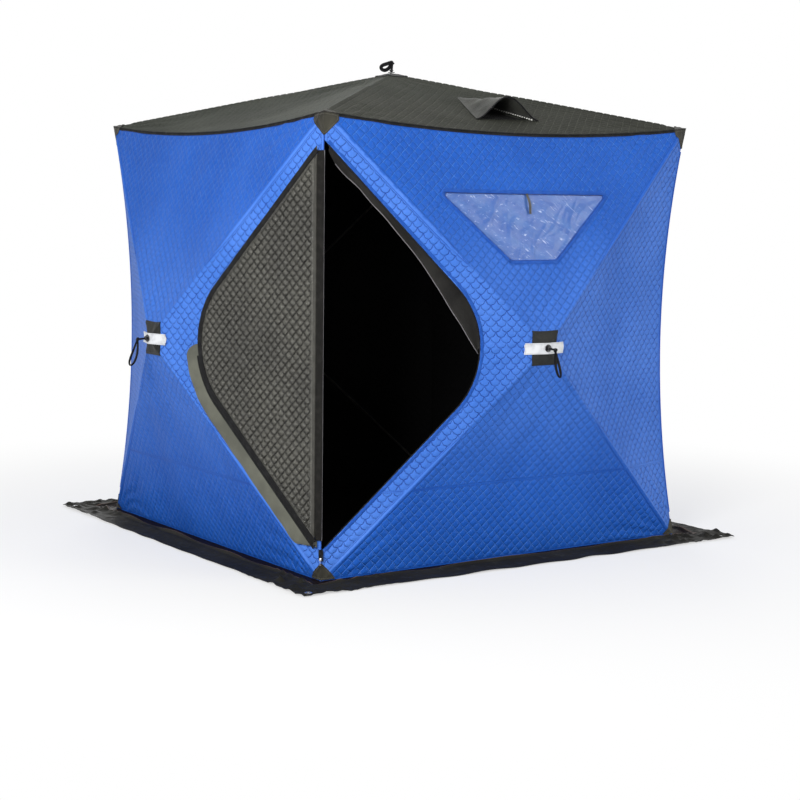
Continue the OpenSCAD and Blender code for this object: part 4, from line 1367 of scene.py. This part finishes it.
nickel = Finish("eyelet_nickel", Metallic=1.0, Roughness=0.3)
scratches = nickel.noise(nickel.place((1, 6, 1)), 320, 4)
dull = nickel.noise(nickel.place(), 120, 3)
nickel.set(
    Base_Color=nickel.shade(nickel.ramp(dull, 0.4, 0.7), colour(198, 198, 202), colour(150, 150, 154)),
    Roughness=nickel.ramp(scratches, 0.3, 0.7, 0.24, 0.44),
    Normal=nickel.relief(scratches, 0.0001),
)
corner_out = np.array([-1.0, -1.0, 0.0]) / math.sqrt(2)
corner_across = np.array([1.0, -1.0, 0.0]) / math.sqrt(2)
ends = []
for shift_x, low in ((-0.0045, 0.086), (0.0045, 0.080)):
    z = np.linspace(0.124, low, 15)
    line = np.array([-half, -half, 0.0]) + z[:, None] * [0, 0, 1] + shift_x * corner_across
    line = line + (0.0058 + 0.0014 * np.sin(260 * z + 300 * shift_x))[:, None] * corner_out
    ends.append(trim("tape_end", line, corner_out, tape_section(0.009, 0.0022), zip_tape))
tape_ends = joined("zip_tape_ends", ends)


def pick_faces(mesh, test):
    """Selects only the faces whose middle and normal pass a test"""
    for face in mesh.polygons:
        face.select = test(face.center, face.normal)
    for group in (mesh.edges, mesh.vertices):
        for item in group:
            item.select = False


def edit(*calls):
    """Runs edit mode operators on the selected faces"""
    bpy.ops.object.mode_set(mode="EDIT")
    bpy.ops.mesh.select_mode(type="FACE")
    for call, settings in calls:
        call(**settings)
    bpy.ops.object.mode_set(mode="OBJECT")


def bevelled(piece, width, segments=2):
    """Rounds the sharp edges of a piece"""
    bevel = piece.modifiers.new("soft", "BEVEL")
    bevel.width = width
    bevel.segments = segments
    bevel.limit_method = "ANGLE"
    select_only(piece)
    bpy.ops.object.modifier_apply(modifier=bevel.name)


def block(place, size):
    """A block at its size and place"""
    bpy.ops.object.select_all(action="DESELECT")
    bpy.ops.mesh.primitive_cube_add(size=1, location=place)
    piece = bpy.context.object
    piece.scale = size
    bpy.ops.object.transform_apply(location=True, rotation=True, scale=True)
    return piece


def copies_at(model, places):
    """A copy of a piece at each place, each with its own mesh. The model is then thrown away"""
    copies = []
    for place in places:
        copy = model.copy()
        copy.data = model.data.copy()
        bpy.context.scene.collection.objects.link(copy)
        copy.data.transform(place)
        copies.append(copy)
    bpy.data.objects.remove(model)
    return copies


shift = bpy.ops.transform.translate
slider_body = block((0, 0, 0), (0.010, 0.004, 0.012))
pick_faces(slider_body.data, lambda centre, normal: normal.z > 0.9)
edit((bpy.ops.transform.resize, {"value": (0.7, 1, 1)}))
pick_faces(slider_body.data, lambda centre, normal: normal.y < -0.9)
edit(
    (bpy.ops.mesh.inset, {"thickness": 0.0028}), (shift, {"value": (0, -0.0016, 0)}),
)
slider_pull = block((0, -0.0036, -0.012), (0.0046, 0.0012, 0.019))
pick_faces(slider_pull.data, lambda centre, normal: abs(normal.y) > 0.9)
edit((bpy.ops.mesh.inset, {"thickness": 0.0011}), (bpy.ops.mesh.bridge_edge_loops, {}))
for piece in (slider_body, slider_pull):
    bevelled(piece, 0.0005)
zip_slider = joined("zip_slider", [slider_body, slider_pull])
zip_slider.data.materials.append(nickel.material)
seat_of_slider = Matrix.Translation(Vector(np.array([-half, -half, 0.088]) + 0.0118 * corner_out))
zip_slider.data.transform(seat_of_slider @ Matrix.Rotation(-math.pi / 4, 4, "Z"))
smooth(zip_slider, 35)
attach(zip_slider, "tent")


# ---- Leaf storm flap ----
# A strip of plain olive cloth sewn to the outer face of the leaf along its lower edge, with a stitched
# hem. It covers the zip when the door is shut, and stands past the leaf when it is open.

olive = plain_finish(
    "flap_cloth", colour(78, 79, 69), colour(100, 101, 89), colour(34, 34, 30), 0.0026,
    Roughness=0.5).material
count = 201
rows, lifts = [], []
rolled = np.linspace(0, 1, count)
for share in np.linspace(0, 1, 23):
    inset = 0.020 - 0.095 * share
    row = lower_edge(inset, count, 0.131, 0.011)
    rows.append(row)
    wave = 0.0012 * ripples(row[:, 0], row[:, 1], 0.12, 107) * share
    lifts.append(0.0068 + 0.0008 * fade(share, 0.9, 0.93) + wave)
rows, lifts = np.stack(rows, 1), np.stack(lifts, 1)
reach_in = rows[:, :1]
from_tip = rolled * 0.95
round_end = np.sqrt(np.clip(1 - (1 - np.clip(from_tip / 0.055, 0, 1)) ** 2, 0.02, 1))
round_end *= np.sqrt(np.clip(1 - (1 - np.clip((1 - from_tip) / 0.08, 0, 1)) ** 2, 0.02, 1))
rows = reach_in + (rows - reach_in) * round_end[:, None, None]
face = opened(in_doorway(rows, lifts))
leaf_flap = sewn_sheet("leaf_flap", face, face - leaf_out * 0.0014, [olive], body="leaf")
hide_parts("door_leaf_flap")


# ---- Hub patches ----
# A rectangle of coated grey cloth sewn over each wall hub, and a square one over the roof hub, where the
# bolt comes through. It follows the four faces that meet there.

hub_patch_w, hub_patch_h, roof_patch_w = 0.064, 0.067, 0.052
hub_coated = plain_finish(
    "hub_patch_cloth", colour(26, 27, 26), colour(44, 45, 43), colour(18, 18, 18), 0.0018,
    Roughness=0.6, Specular_IOR_Level=0.15).material


def patch_lift(i, j, seed):
    """Turned-in border and slight puckers of a patch, over the square from -1 to 1"""
    from_edge = 1 - np.maximum(abs(i), abs(j))
    border = 0.0009 * (1 - fade(from_edge, 0.14, 0.2)) * fade(from_edge, 0.0, 0.05)
    return 0.0032 + border + 0.0009 * ripples(i, j, 0.7, seed) * fade(from_edge, 0.0, 0.3)


patches = []
i, j = spread(31, 31, foot=-1)
for side in SIDES:
    z = hub_patch_h * j
    t = z / np.where(z > 0, eaves_h - eaves_sag - hub_z, hub_z)
    s = hub_patch_w * (1 + 0.015 * ripples(j, j * 0, 0.9, 110 + side)) * i / half
    place = wall_surface(side, s, t)
    lift = patch_lift(i, j, 113 + side)
    face = turned(side, lifted(place, lift))
    patches.append(sewn_sheet("patch", face, turned(side, lifted(place, lift - 0.002)), [hub_coated]))
place = roof_surface(roof_patch_w * i / half, roof_patch_w * j / half)
lift = patch_lift(i, j, 119)
patches.append(sewn_sheet("patch", lifted(place, lift), lifted(place, lift - 0.002), [hub_coated]))
hub_cloths = joined("hub_cloth_patches", patches)
smooth(hub_cloths)
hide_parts("hub_patches")


# ---- Hub strips ----
# A strip of white coated tape across each wall patch, held by the bolt and bent over the hub. Its ends
# curl a little and its selvedges are pressed.

white_tape = Finish("white_tape", Roughness=0.42, Coat_Weight=0.2, Coat_Roughness=0.3)
across = white_tape.layout("run")[2]
gap = white_tape.layout("hem")[1]
crinkle = white_tape.noise(white_tape.place((1, 1, 0.5)), 62, 5, 0.65)
smudge = white_tape.noise(white_tape.place(), 30, 4)
threads = white_tape.wave(across, 3600.0)
border = white_tape.ramp(white_tape.apart(gap, 0.004), 0.0003, 0.0012, 1.0, 0.0)
cream = white_tape.shade(white_tape.ramp(smudge, 0.4, 0.75), colour(228, 230, 233), colour(196, 198, 202))
white_tape.set(
    Base_Color=white_tape.shade(white_tape.times(border, 0.4), cream, colour(140, 142, 146)),
    Roughness=white_tape.ramp(crinkle, 0.3, 0.7, 0.5, 0.34),
    Normal=white_tape.relief(
        threads, 0.00005, white_tape.relief(border, -0.0005, white_tape.relief(crinkle, 0.0016))),
)
strip_half = 0.098
strip_rise = (strip_high.z - strip_low.z) / 2
strips = []
i, j = spread(69, 17, foot=-1)
for side in SIDES:
    x, z = strip_half * i * (1 + 0.006 * ripples(j, j * 0, 1.1, 121 + side)), strip_rise * j
    bend = np.sqrt(x ** 2 + 0.004 ** 2) * outs[side] / half
    stand = 0.0062 + 0.0012 * ripples(x, z, 0.05, 125 + side) * fade(abs(i), 0.2, 0.6) - 0.0016 * i ** 4
    stand += 0.0022 * fade(abs(i), 0.88, 1.0) * np.cos(3 * j + side)
    face = turned(side, np.stack([x, -half - outs[side] + bend - stand, hub_z + z], -1))
    inward = turned(side, np.array([0.0, 0.0012, 0.0]))
    strips.append(sewn_sheet("strip", face, face + inward, [white_tape.material]))
white_strips = joined("white_strips", strips)
smooth(white_strips)
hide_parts("hub_strips")


# ---- Hub bolts ----
# Black nylon bolts with a broad dished washer and a round knob on a narrow neck, screwed into the hub
# through the patch and the strip. The pull loop is tied round the neck.

satin_nylon = Finish("bolt_nylon", Roughness=0.34, Specular_IOR_Level=0.5)
speck = satin_nylon.noise(satin_nylon.place(), 700, 3)
scuffs = satin_nylon.noise(satin_nylon.place(), 90, 4)
satin_nylon.set(
    Base_Color=satin_nylon.shade(satin_nylon.ramp(scuffs, 0.5, 0.78), colour(20, 20, 22), colour(58, 58, 62)),
    Roughness=satin_nylon.ramp(scuffs, 0.35, 0.75, 0.42, 0.28),
    Normal=satin_nylon.relief(speck, 0.00015),
)
bpy.ops.object.select_all(action="DESELECT")
bpy.ops.mesh.primitive_cylinder_add(vertices=48, radius=0.015, depth=0.002, location=(0, 0, 0.001))
bolt = bpy.context.object
pick_faces(bolt.data, lambda centre, normal: normal.z > 0.9)
edit(
    (bpy.ops.mesh.inset, {"thickness": 0.0022}), (shift, {"value": (0, 0, 0.0009)}),
    (bpy.ops.mesh.inset, {"thickness": 0.0026}), (shift, {"value": (0, 0, -0.0012)}),
    (bpy.ops.mesh.inset, {"thickness": 0.0052}),
    (bpy.ops.mesh.extrude_region_move, {"TRANSFORM_OT_translate": {"value": (0, 0, 0.0052)}}),
    (bpy.ops.mesh.extrude_region_move, {"TRANSFORM_OT_translate": {"value": (0, 0, 0.0012)}}),
    (bpy.ops.transform.resize, {"value": (1.75, 1.75, 1)}),
    (bpy.ops.mesh.extrude_region_move, {"TRANSFORM_OT_translate": {"value": (0, 0, 0.0034)}}),
    (bpy.ops.mesh.inset, {"thickness": 0.0012}), (shift, {"value": (0, 0, 0.0008)}),
    (bpy.ops.mesh.inset, {"thickness": 0.0030}), (shift, {"value": (0, 0, 0.0006)}),
)
bevelled(bolt, 0.0004)
bolt.data.materials.append(satin_nylon.material)
wall_bolt_lift, roof_bolt_lift = 0.0076, 0.0036
seats = []
for side in SIDES:
    place = Matrix.Translation((0, -half - outs[side] - wall_bolt_lift, hub_z))
    stand = place @ Matrix.Rotation(math.pi / 2, 4, "X")
    seats.append(Matrix.Rotation(side * math.pi / 2, 4, "Z") @ stand)
seats.append(Matrix.Translation(Vector(apex) + Vector((0, 0, roof_bolt_lift))))
knobs = joined("hub_knobs", copies_at(bolt, seats))
smooth(knobs, 35)
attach(knobs, "tent")
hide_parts("hub_bolts")


# ---- Pull loops ----
# Black webbing tied round the neck of each bolt, for snapping the hub out or in. A short bound neck
# stands out from the bolt, and past its second knot the webbing opens into a loop that hangs down.

def pull_loop(start, away, down, reach_out, drop, width, gape=0.0052, thick=0.0030):
    """A loop of webbing from a bolt: its place, the way out, the way down and how far it goes"""
    across = np.cross(away, down)
    length = math.hypot(reach_out, drop)
    ahead = (away * reach_out + down * drop) / length
    over = np.cross(across, ahead)
    f = np.linspace(0, 1, 97)[:-1]
    swing = 2 * np.pi * f
    forth = (0.5 - 0.5 * np.cos(swing)) ** 0.9
    open_w = gape * np.sin(swing) * (0.35 + 0.65 * forth)
    curl = 0.004 * np.sin(np.pi * forth)
    line = start + ahead * (0.002 + (length + 0.006) * forth)[:, None] + over * (open_w + curl)[:, None]
    away_from = over * np.sin(swing)[:, None] - ahead * np.cos(swing)[:, None]
    size = width * (0.42 + 0.58 * fade(forth, 0.05, 0.45)) * (1 - 0.5 * fade(forth, 0.82, 1.0))
    section = tape_section(1.0, 1.0) - [0, 0.5]
    sections = section[None] * np.stack([size, np.full_like(size, thick)], -1)[:, None]
    return trim("loop", line, away_from, sections, black_webbing, ring=True)


def knot(middle, away, turn, size=0.0056):
    """The knot of a loop: two turns of webbing round the bolt's neck"""
    angles = np.linspace(0, 4 * np.pi, 73)
    u = unit(np.cross(away, [0.3, 0.2, 1.0]))
    v = np.cross(away, u)
    ring = u * np.cos(angles + turn)[:, None] + v * np.sin(angles + turn)[:, None]
    path = middle + ring * (size + 0.0006 * np.sin(3 * angles))[:, None]
    path = path + away * (0.0018 * angles / np.pi - 0.003)[:, None]
    return trim("knot", path, ring, round_section(0.0021, 8, 0.7), black_webbing)


loops = []
for side in SIDES:
    away = turned(side, np.array([0.0, -1.0, 0.0]))
    start = turned(side, np.array([0.0, -half - outs[side] - 0.0148, hub_z]))
    down = np.array([0.0, 0.0, -1.0])
    neck = start + np.linspace(0, 0.042, 15)[:, None] * away
    neck = neck + np.linspace(0, 1, 15)[:, None] ** 2 * 0.004 * down
    loops.append(trim("neck", neck, down, round_section(0.0050, 10, 0.8), black_webbing))
    loops.append(pull_loop(neck[-1] - 0.006 * away, away, down, 0.030, 0.094, 0.010, 0.0165, 0.0064))
    loops.append(knot(start - 0.001 * away, away, side))
    loops.append(knot(neck[-3], away, side + 1.0, 0.0068))
top = apex + [0, 0, 0.009]
up = np.array([0.0, 0.0, 1.0])
leaning = np.array([-0.82, 0.57, 0.0])
stem = top + np.linspace(0, 1, 17)[:, None] * (0.034 * up - 0.003 * leaning)
loops.append(trim("stem", stem, leaning, round_section(0.0072, 10, 0.8), black_webbing))
loops.append(knot(stem[-1], up, 0.5, 0.0080))
loops.append(knot(stem[1], up, 1.7, 0.0048))
loops.append(pull_loop(stem[-1] + 0.006 * up, unit(leaning), -up, 0.040, 0.024, 0.018, 0.0165, 0.0150))
pull_loops = joined("webbing_loops", loops)
smooth(pull_loops, 60)
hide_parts("pull_loops")


# ---- Snow skirt ----
# A flap of black coated cloth sewn round the foot of the walls and spread on the ground, where snow is heaped
# on it. It has a raised fold beside the wall with painted shade between the two, a turned hem and crumpled
# corners, and painted highlights on its rumples.

skirt_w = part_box("skirt_front")[1].x - half
fold_at = 0.074
skirt_cloth = Finish("skirt_cloth", Roughness=0.62, Specular_IOR_Level=0.08)
out_from_wall = skirt_cloth.layout("skirt")[2]
here = skirt_cloth.place()
rumple = skirt_cloth.noise(here, 22, 5, 0.6)
broad = skirt_cloth.noise(here, 4.5, 3)
frayed = skirt_cloth.noise(here, 140, 3)
crest = skirt_cloth.ramp(skirt_cloth.apart(out_from_wall, fold_at), 0.0008, 0.0026, 1.0, 0.0)
shown = skirt_cloth.times(crest, skirt_cloth.ramp(frayed, 0.3, 0.55, 0.35, 0.95))
painted_shade_behind_fold = skirt_cloth.ramp(out_from_wall, fold_at - 0.012, fold_at - 0.002, 1.0, 0.0)
hem_line = skirt_cloth.ramp(skirt_cloth.apart(out_from_wall, skirt_w - 0.012), 0.0006, 0.0016, 1.0, 0.0)
satin = skirt_cloth.shade(skirt_cloth.ramp(broad, 0.35, 0.7), colour(30, 29, 26), colour(40, 39, 35))
# Painted highlight: the crests of the rumples are mixed towards a pale olive
satin = skirt_cloth.shade(skirt_cloth.ramp(rumple, 0.55, 0.8, 0.0, 0.5), satin, colour(66, 67, 58))
# Painted shade: the band between the wall and the fold is dark maroon
satin = skirt_cloth.shade(painted_shade_behind_fold, satin, colour(17, 9, 11))
satin = skirt_cloth.shade(skirt_cloth.times(hem_line, 0.5), satin, colour(20, 20, 20))
skirt_cloth.set(
    Base_Color=skirt_cloth.shade(shown, satin, colour(98, 80, 72)),
    Roughness=skirt_cloth.ramp(rumple, 0.3, 0.8, 0.66, 0.5),
    Normal=skirt_cloth.relief(hem_line, -0.0006, skirt_cloth.relief(rumple, 0.0026)),
)
per_side = 150
stake_at = 1.0425
a = np.linspace(-1, 1, per_side + 1)[:-1]
out_steps = np.concatenate([
    np.linspace(0.0, fold_at - 0.02, 5), np.linspace(fold_at - 0.014, fold_at + 0.02, 11),
    np.linspace(fold_at + 0.03, skirt_w - 0.014, 13), np.linspace(skirt_w - 0.009, skirt_w, 4),
])
a, d = np.meshgrid(a, out_steps, indexing="ij")
face, gap_out = [], []
for side in SIDES:
    edge_wave = 1 + 0.018 * ripples(a * 3, a * 0, 0.5, 131 + side) * fade(d, 0.1, skirt_w)
    reach_out = d * edge_wave
    x, y = a * (half + reach_out), -half - reach_out
    to_corner = (1 - abs(a)) * half
    calm = fade(to_corner, 0.0, 0.10)
    fold = 0.0145 * np.exp(-((d - fold_at) / 0.0075) ** 2) * (0.75 + 0.3 * ripples(x, y, 0.35, 135 + side))
    fold += 0.006 * np.exp(-((d - fold_at - 0.018) / 0.022) ** 2)
    fold *= 0.25 + 0.75 * calm
    crumple = ripples(x, y, 0.075, 139 + side, 20) ** 2 * 0.007 + 0.004 * abs(ripples(x, y, 0.13, 143 + side))
    crumple *= (1 - fade(to_corner, 0.05, 0.42)) * fade(d, 0.01, 0.05)
    waves = 0.0022 * (1 + ripples(x, y, 0.28, 147 + side)) * fade(d, 0.02, 0.09)
    flat_spot = fade(np.hypot(abs(x) - stake_at, abs(y) - stake_at), 0.016, 0.034)
    z = 0.0034 + (fold + crumple + waves) * flat_spot
    z += 0.0012 * fade(d, skirt_w - 0.014, skirt_w - 0.010) * flat_spot
    face.append(turned(side, np.stack([x, y, z], -1)))
    gap_out.append(np.stack([side * 2 * half + x, d], -1))
face, gap_out = np.concatenate(face), np.concatenate(gap_out)
behind = face - [0, 0, 0.0022]
skirt = sewn_sheet("snow_skirt", face, behind, [skirt_cloth.material], ring=True)
lay_out(skirt.data, "skirt", np.tile(gap_out.reshape(-1, 2), (2, 1)))
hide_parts("skirt_front", "skirt_left", "skirt_back", "skirt_right")


# ---- Eyelets ----
# Pressed brass eyelets, nickel plated, one near each corner of the skirt for a ground stake. Their rims
# are rolled and a little scratched.

eyelet_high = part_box("skirt_eyelets")[1]
eyelet_at = eyelet_high.x - 0.015
bpy.ops.object.select_all(action="DESELECT")
bpy.ops.mesh.primitive_cylinder_add(
    vertices=48, radius=0.015, depth=0.0012, location=(0, 0, eyelet_high.z - 0.0014))
eyelet = bpy.context.object
pick_faces(eyelet.data, lambda centre, normal: abs(normal.z) > 0.9)
edit((bpy.ops.mesh.inset, {"thickness": 0.009}), (bpy.ops.mesh.bridge_edge_loops, {}))
pick_faces(eyelet.data, lambda centre, normal: normal.z > 0.9)
edit((bpy.ops.mesh.inset, {"thickness": 0.0022}), (shift, {"value": (0, 0, 0.0008)}))
pick_faces(eyelet.data, lambda centre, normal: normal.z < -0.9)
edit((bpy.ops.mesh.inset, {"thickness": 0.0022}))
bevelled(eyelet, 0.0004)
eyelet.data.materials.append(nickel.material)
bpy.ops.object.transform_apply(location=True, rotation=True, scale=True)
stake_holes = [(x, y, 0) for x in (-eyelet_at, eyelet_at) for y in (-eyelet_at, eyelet_at)]
rolled_eyelets = joined("rolled_eyelets", copies_at(eyelet, map(Matrix.Translation, stake_holes)))
smooth(rolled_eyelets, 35)
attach(rolled_eyelets, "tent")
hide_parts("skirt_eyelets")


# ---- Studio ----
# A pale floor, painted nearly black as shade inside the hut's footprint, in soft light from the left, the
# right, above and behind, and a long lens a little below the eye.

camera_data = bpy.data.cameras.new("camera")
camera_data.lens = 75.94
camera_data.sensor_width = 36
camera = bpy.data.objects.new("camera", camera_data)
bpy.context.scene.collection.objects.link(camera)
yaw, pitch, roll = -0.6008, 0.1142, 0.0125
behind_camera = Vector((
    math.sin(yaw) * math.cos(pitch), -math.cos(yaw) * math.cos(pitch), math.sin(pitch)))
right_hand = (-behind_camera).cross(Vector((0, 0, 1))).normalized()
upwards = right_hand.cross(-behind_camera)
camera_x = math.cos(roll) * right_hand + math.sin(roll) * upwards
camera_y = math.cos(roll) * upwards - math.sin(roll) * right_hand
camera.matrix_world = Matrix.Translation((-4.1867, -6.2075, 1.4090)) @ Matrix(
    (camera_x, camera_y, behind_camera)).transposed().to_4x4()
bpy.context.scene.camera = camera

bpy.ops.object.select_all(action="DESELECT")
bpy.ops.mesh.primitive_plane_add(size=40, location=(0, 0, 0))
floor = bpy.context.object
floor.name = "floor"
pale = Finish("floor_paint", Roughness=0.9, Specular_IOR_Level=0.1)
ray = pale.tree.nodes.new("ShaderNodeLightPath").outputs
seen = pale.calc("MAXIMUM", ray["Is Camera Ray"], ray["Is Glossy Ray"])
seen = pale.calc("MAXIMUM", seen, ray["Is Transmission Ray"])
spot = pale.tree.nodes.new("ShaderNodeSeparateXYZ")
pale.tree.links.new(pale.place(), spot.inputs[0])
east, north = pale.calc("ABSOLUTE", spot.outputs[0]), pale.calc("ABSOLUTE", spot.outputs[1])
outside = pale.ramp(pale.calc("MAXIMUM", east, north), half + 0.03, half + 0.08)
away = pale.calc("SQRT", pale.calc("ADD", pale.times(east, east), pale.times(north, north)))
lit = pale.times(pale.times(seen, outside), pale.ramp(away, 1.4, 3.4, 0.55, 1.0))
open_ground = pale.shade(seen, (0.42, 0.42, 0.42, 1), (0.9, 0.9, 0.9, 1))
# Painted shade: inside the hut's footprint the floor is nearly black
pale.set(Base_Color=pale.shade(outside, (0.02, 0.018, 0.02, 1), open_ground))
glow = pale.tree.nodes.new("ShaderNodeEmission")
glow.inputs["Color"].default_value = (1, 1, 1, 1)
blend = pale.tree.nodes.new("ShaderNodeMixShader")
pale.tree.links.new(lit, blend.inputs[0])
pale.tree.links.new(pale.shader.outputs[0], blend.inputs[1])
pale.tree.links.new(glow.outputs[0], blend.inputs[2])
pale.tree.links.new(blend.outputs[0], pale.tree.nodes["Material Output"].inputs["Surface"])
floor.data.materials.append(pale.material)


def soft_light(name, place, aim, size, power):
    data = bpy.data.lights.new(name, "AREA")
    data.energy = power
    data.size = size
    lamp = bpy.data.objects.new(name, data)
    lamp.location = place
    lamp.rotation_euler = (Vector(aim) - Vector(place)).to_track_quat("-Z", "Y").to_euler()
    bpy.context.scene.collection.objects.link(lamp)


soft_light("key_light", (-5.2, -4.0, 2.8), (0, 0, 0.9), 2.6, 365)
soft_light("fill_light", (4.2, -5.8, 2.4), (0, 0, 0.9), 3.0, 150)
soft_light("top_light", (0.3, 1.0, 6.0), (0, 0, 1.0), 4.0, 55)
soft_light("back_light", (3.6, 6.2, 2.8), (0, 0, 0.9), 3.0, 190)

scene = bpy.context.scene
scene.view_settings.view_transform = "Standard"
world = bpy.data.worlds.new("studio")
world.use_nodes = True
scene.world = world
tree = world.node_tree
path = tree.nodes.new("ShaderNodeLightPath")
either = tree.nodes.new("ShaderNodeMath")
either.operation = "MAXIMUM"
tree.links.new(path.outputs["Is Camera Ray"], either.inputs[0])
tree.links.new(path.outputs["Is Glossy Ray"], either.inputs[1])
any_of = tree.nodes.new("ShaderNodeMath")
any_of.operation = "MAXIMUM"
tree.links.new(either.outputs[0], any_of.inputs[0])
tree.links.new(path.outputs["Is Transmission Ray"], any_of.inputs[1])
level = tree.nodes.new("ShaderNodeMapRange")
level.inputs["To Min"].default_value = 0.36
level.inputs["To Max"].default_value = 1.0
tree.links.new(any_of.outputs[0], level.inputs["Value"])
background = tree.nodes["Background"]
background.inputs["Color"].default_value = (1, 1, 1, 1)
tree.links.new(level.outputs["Result"], background.inputs["Strength"])
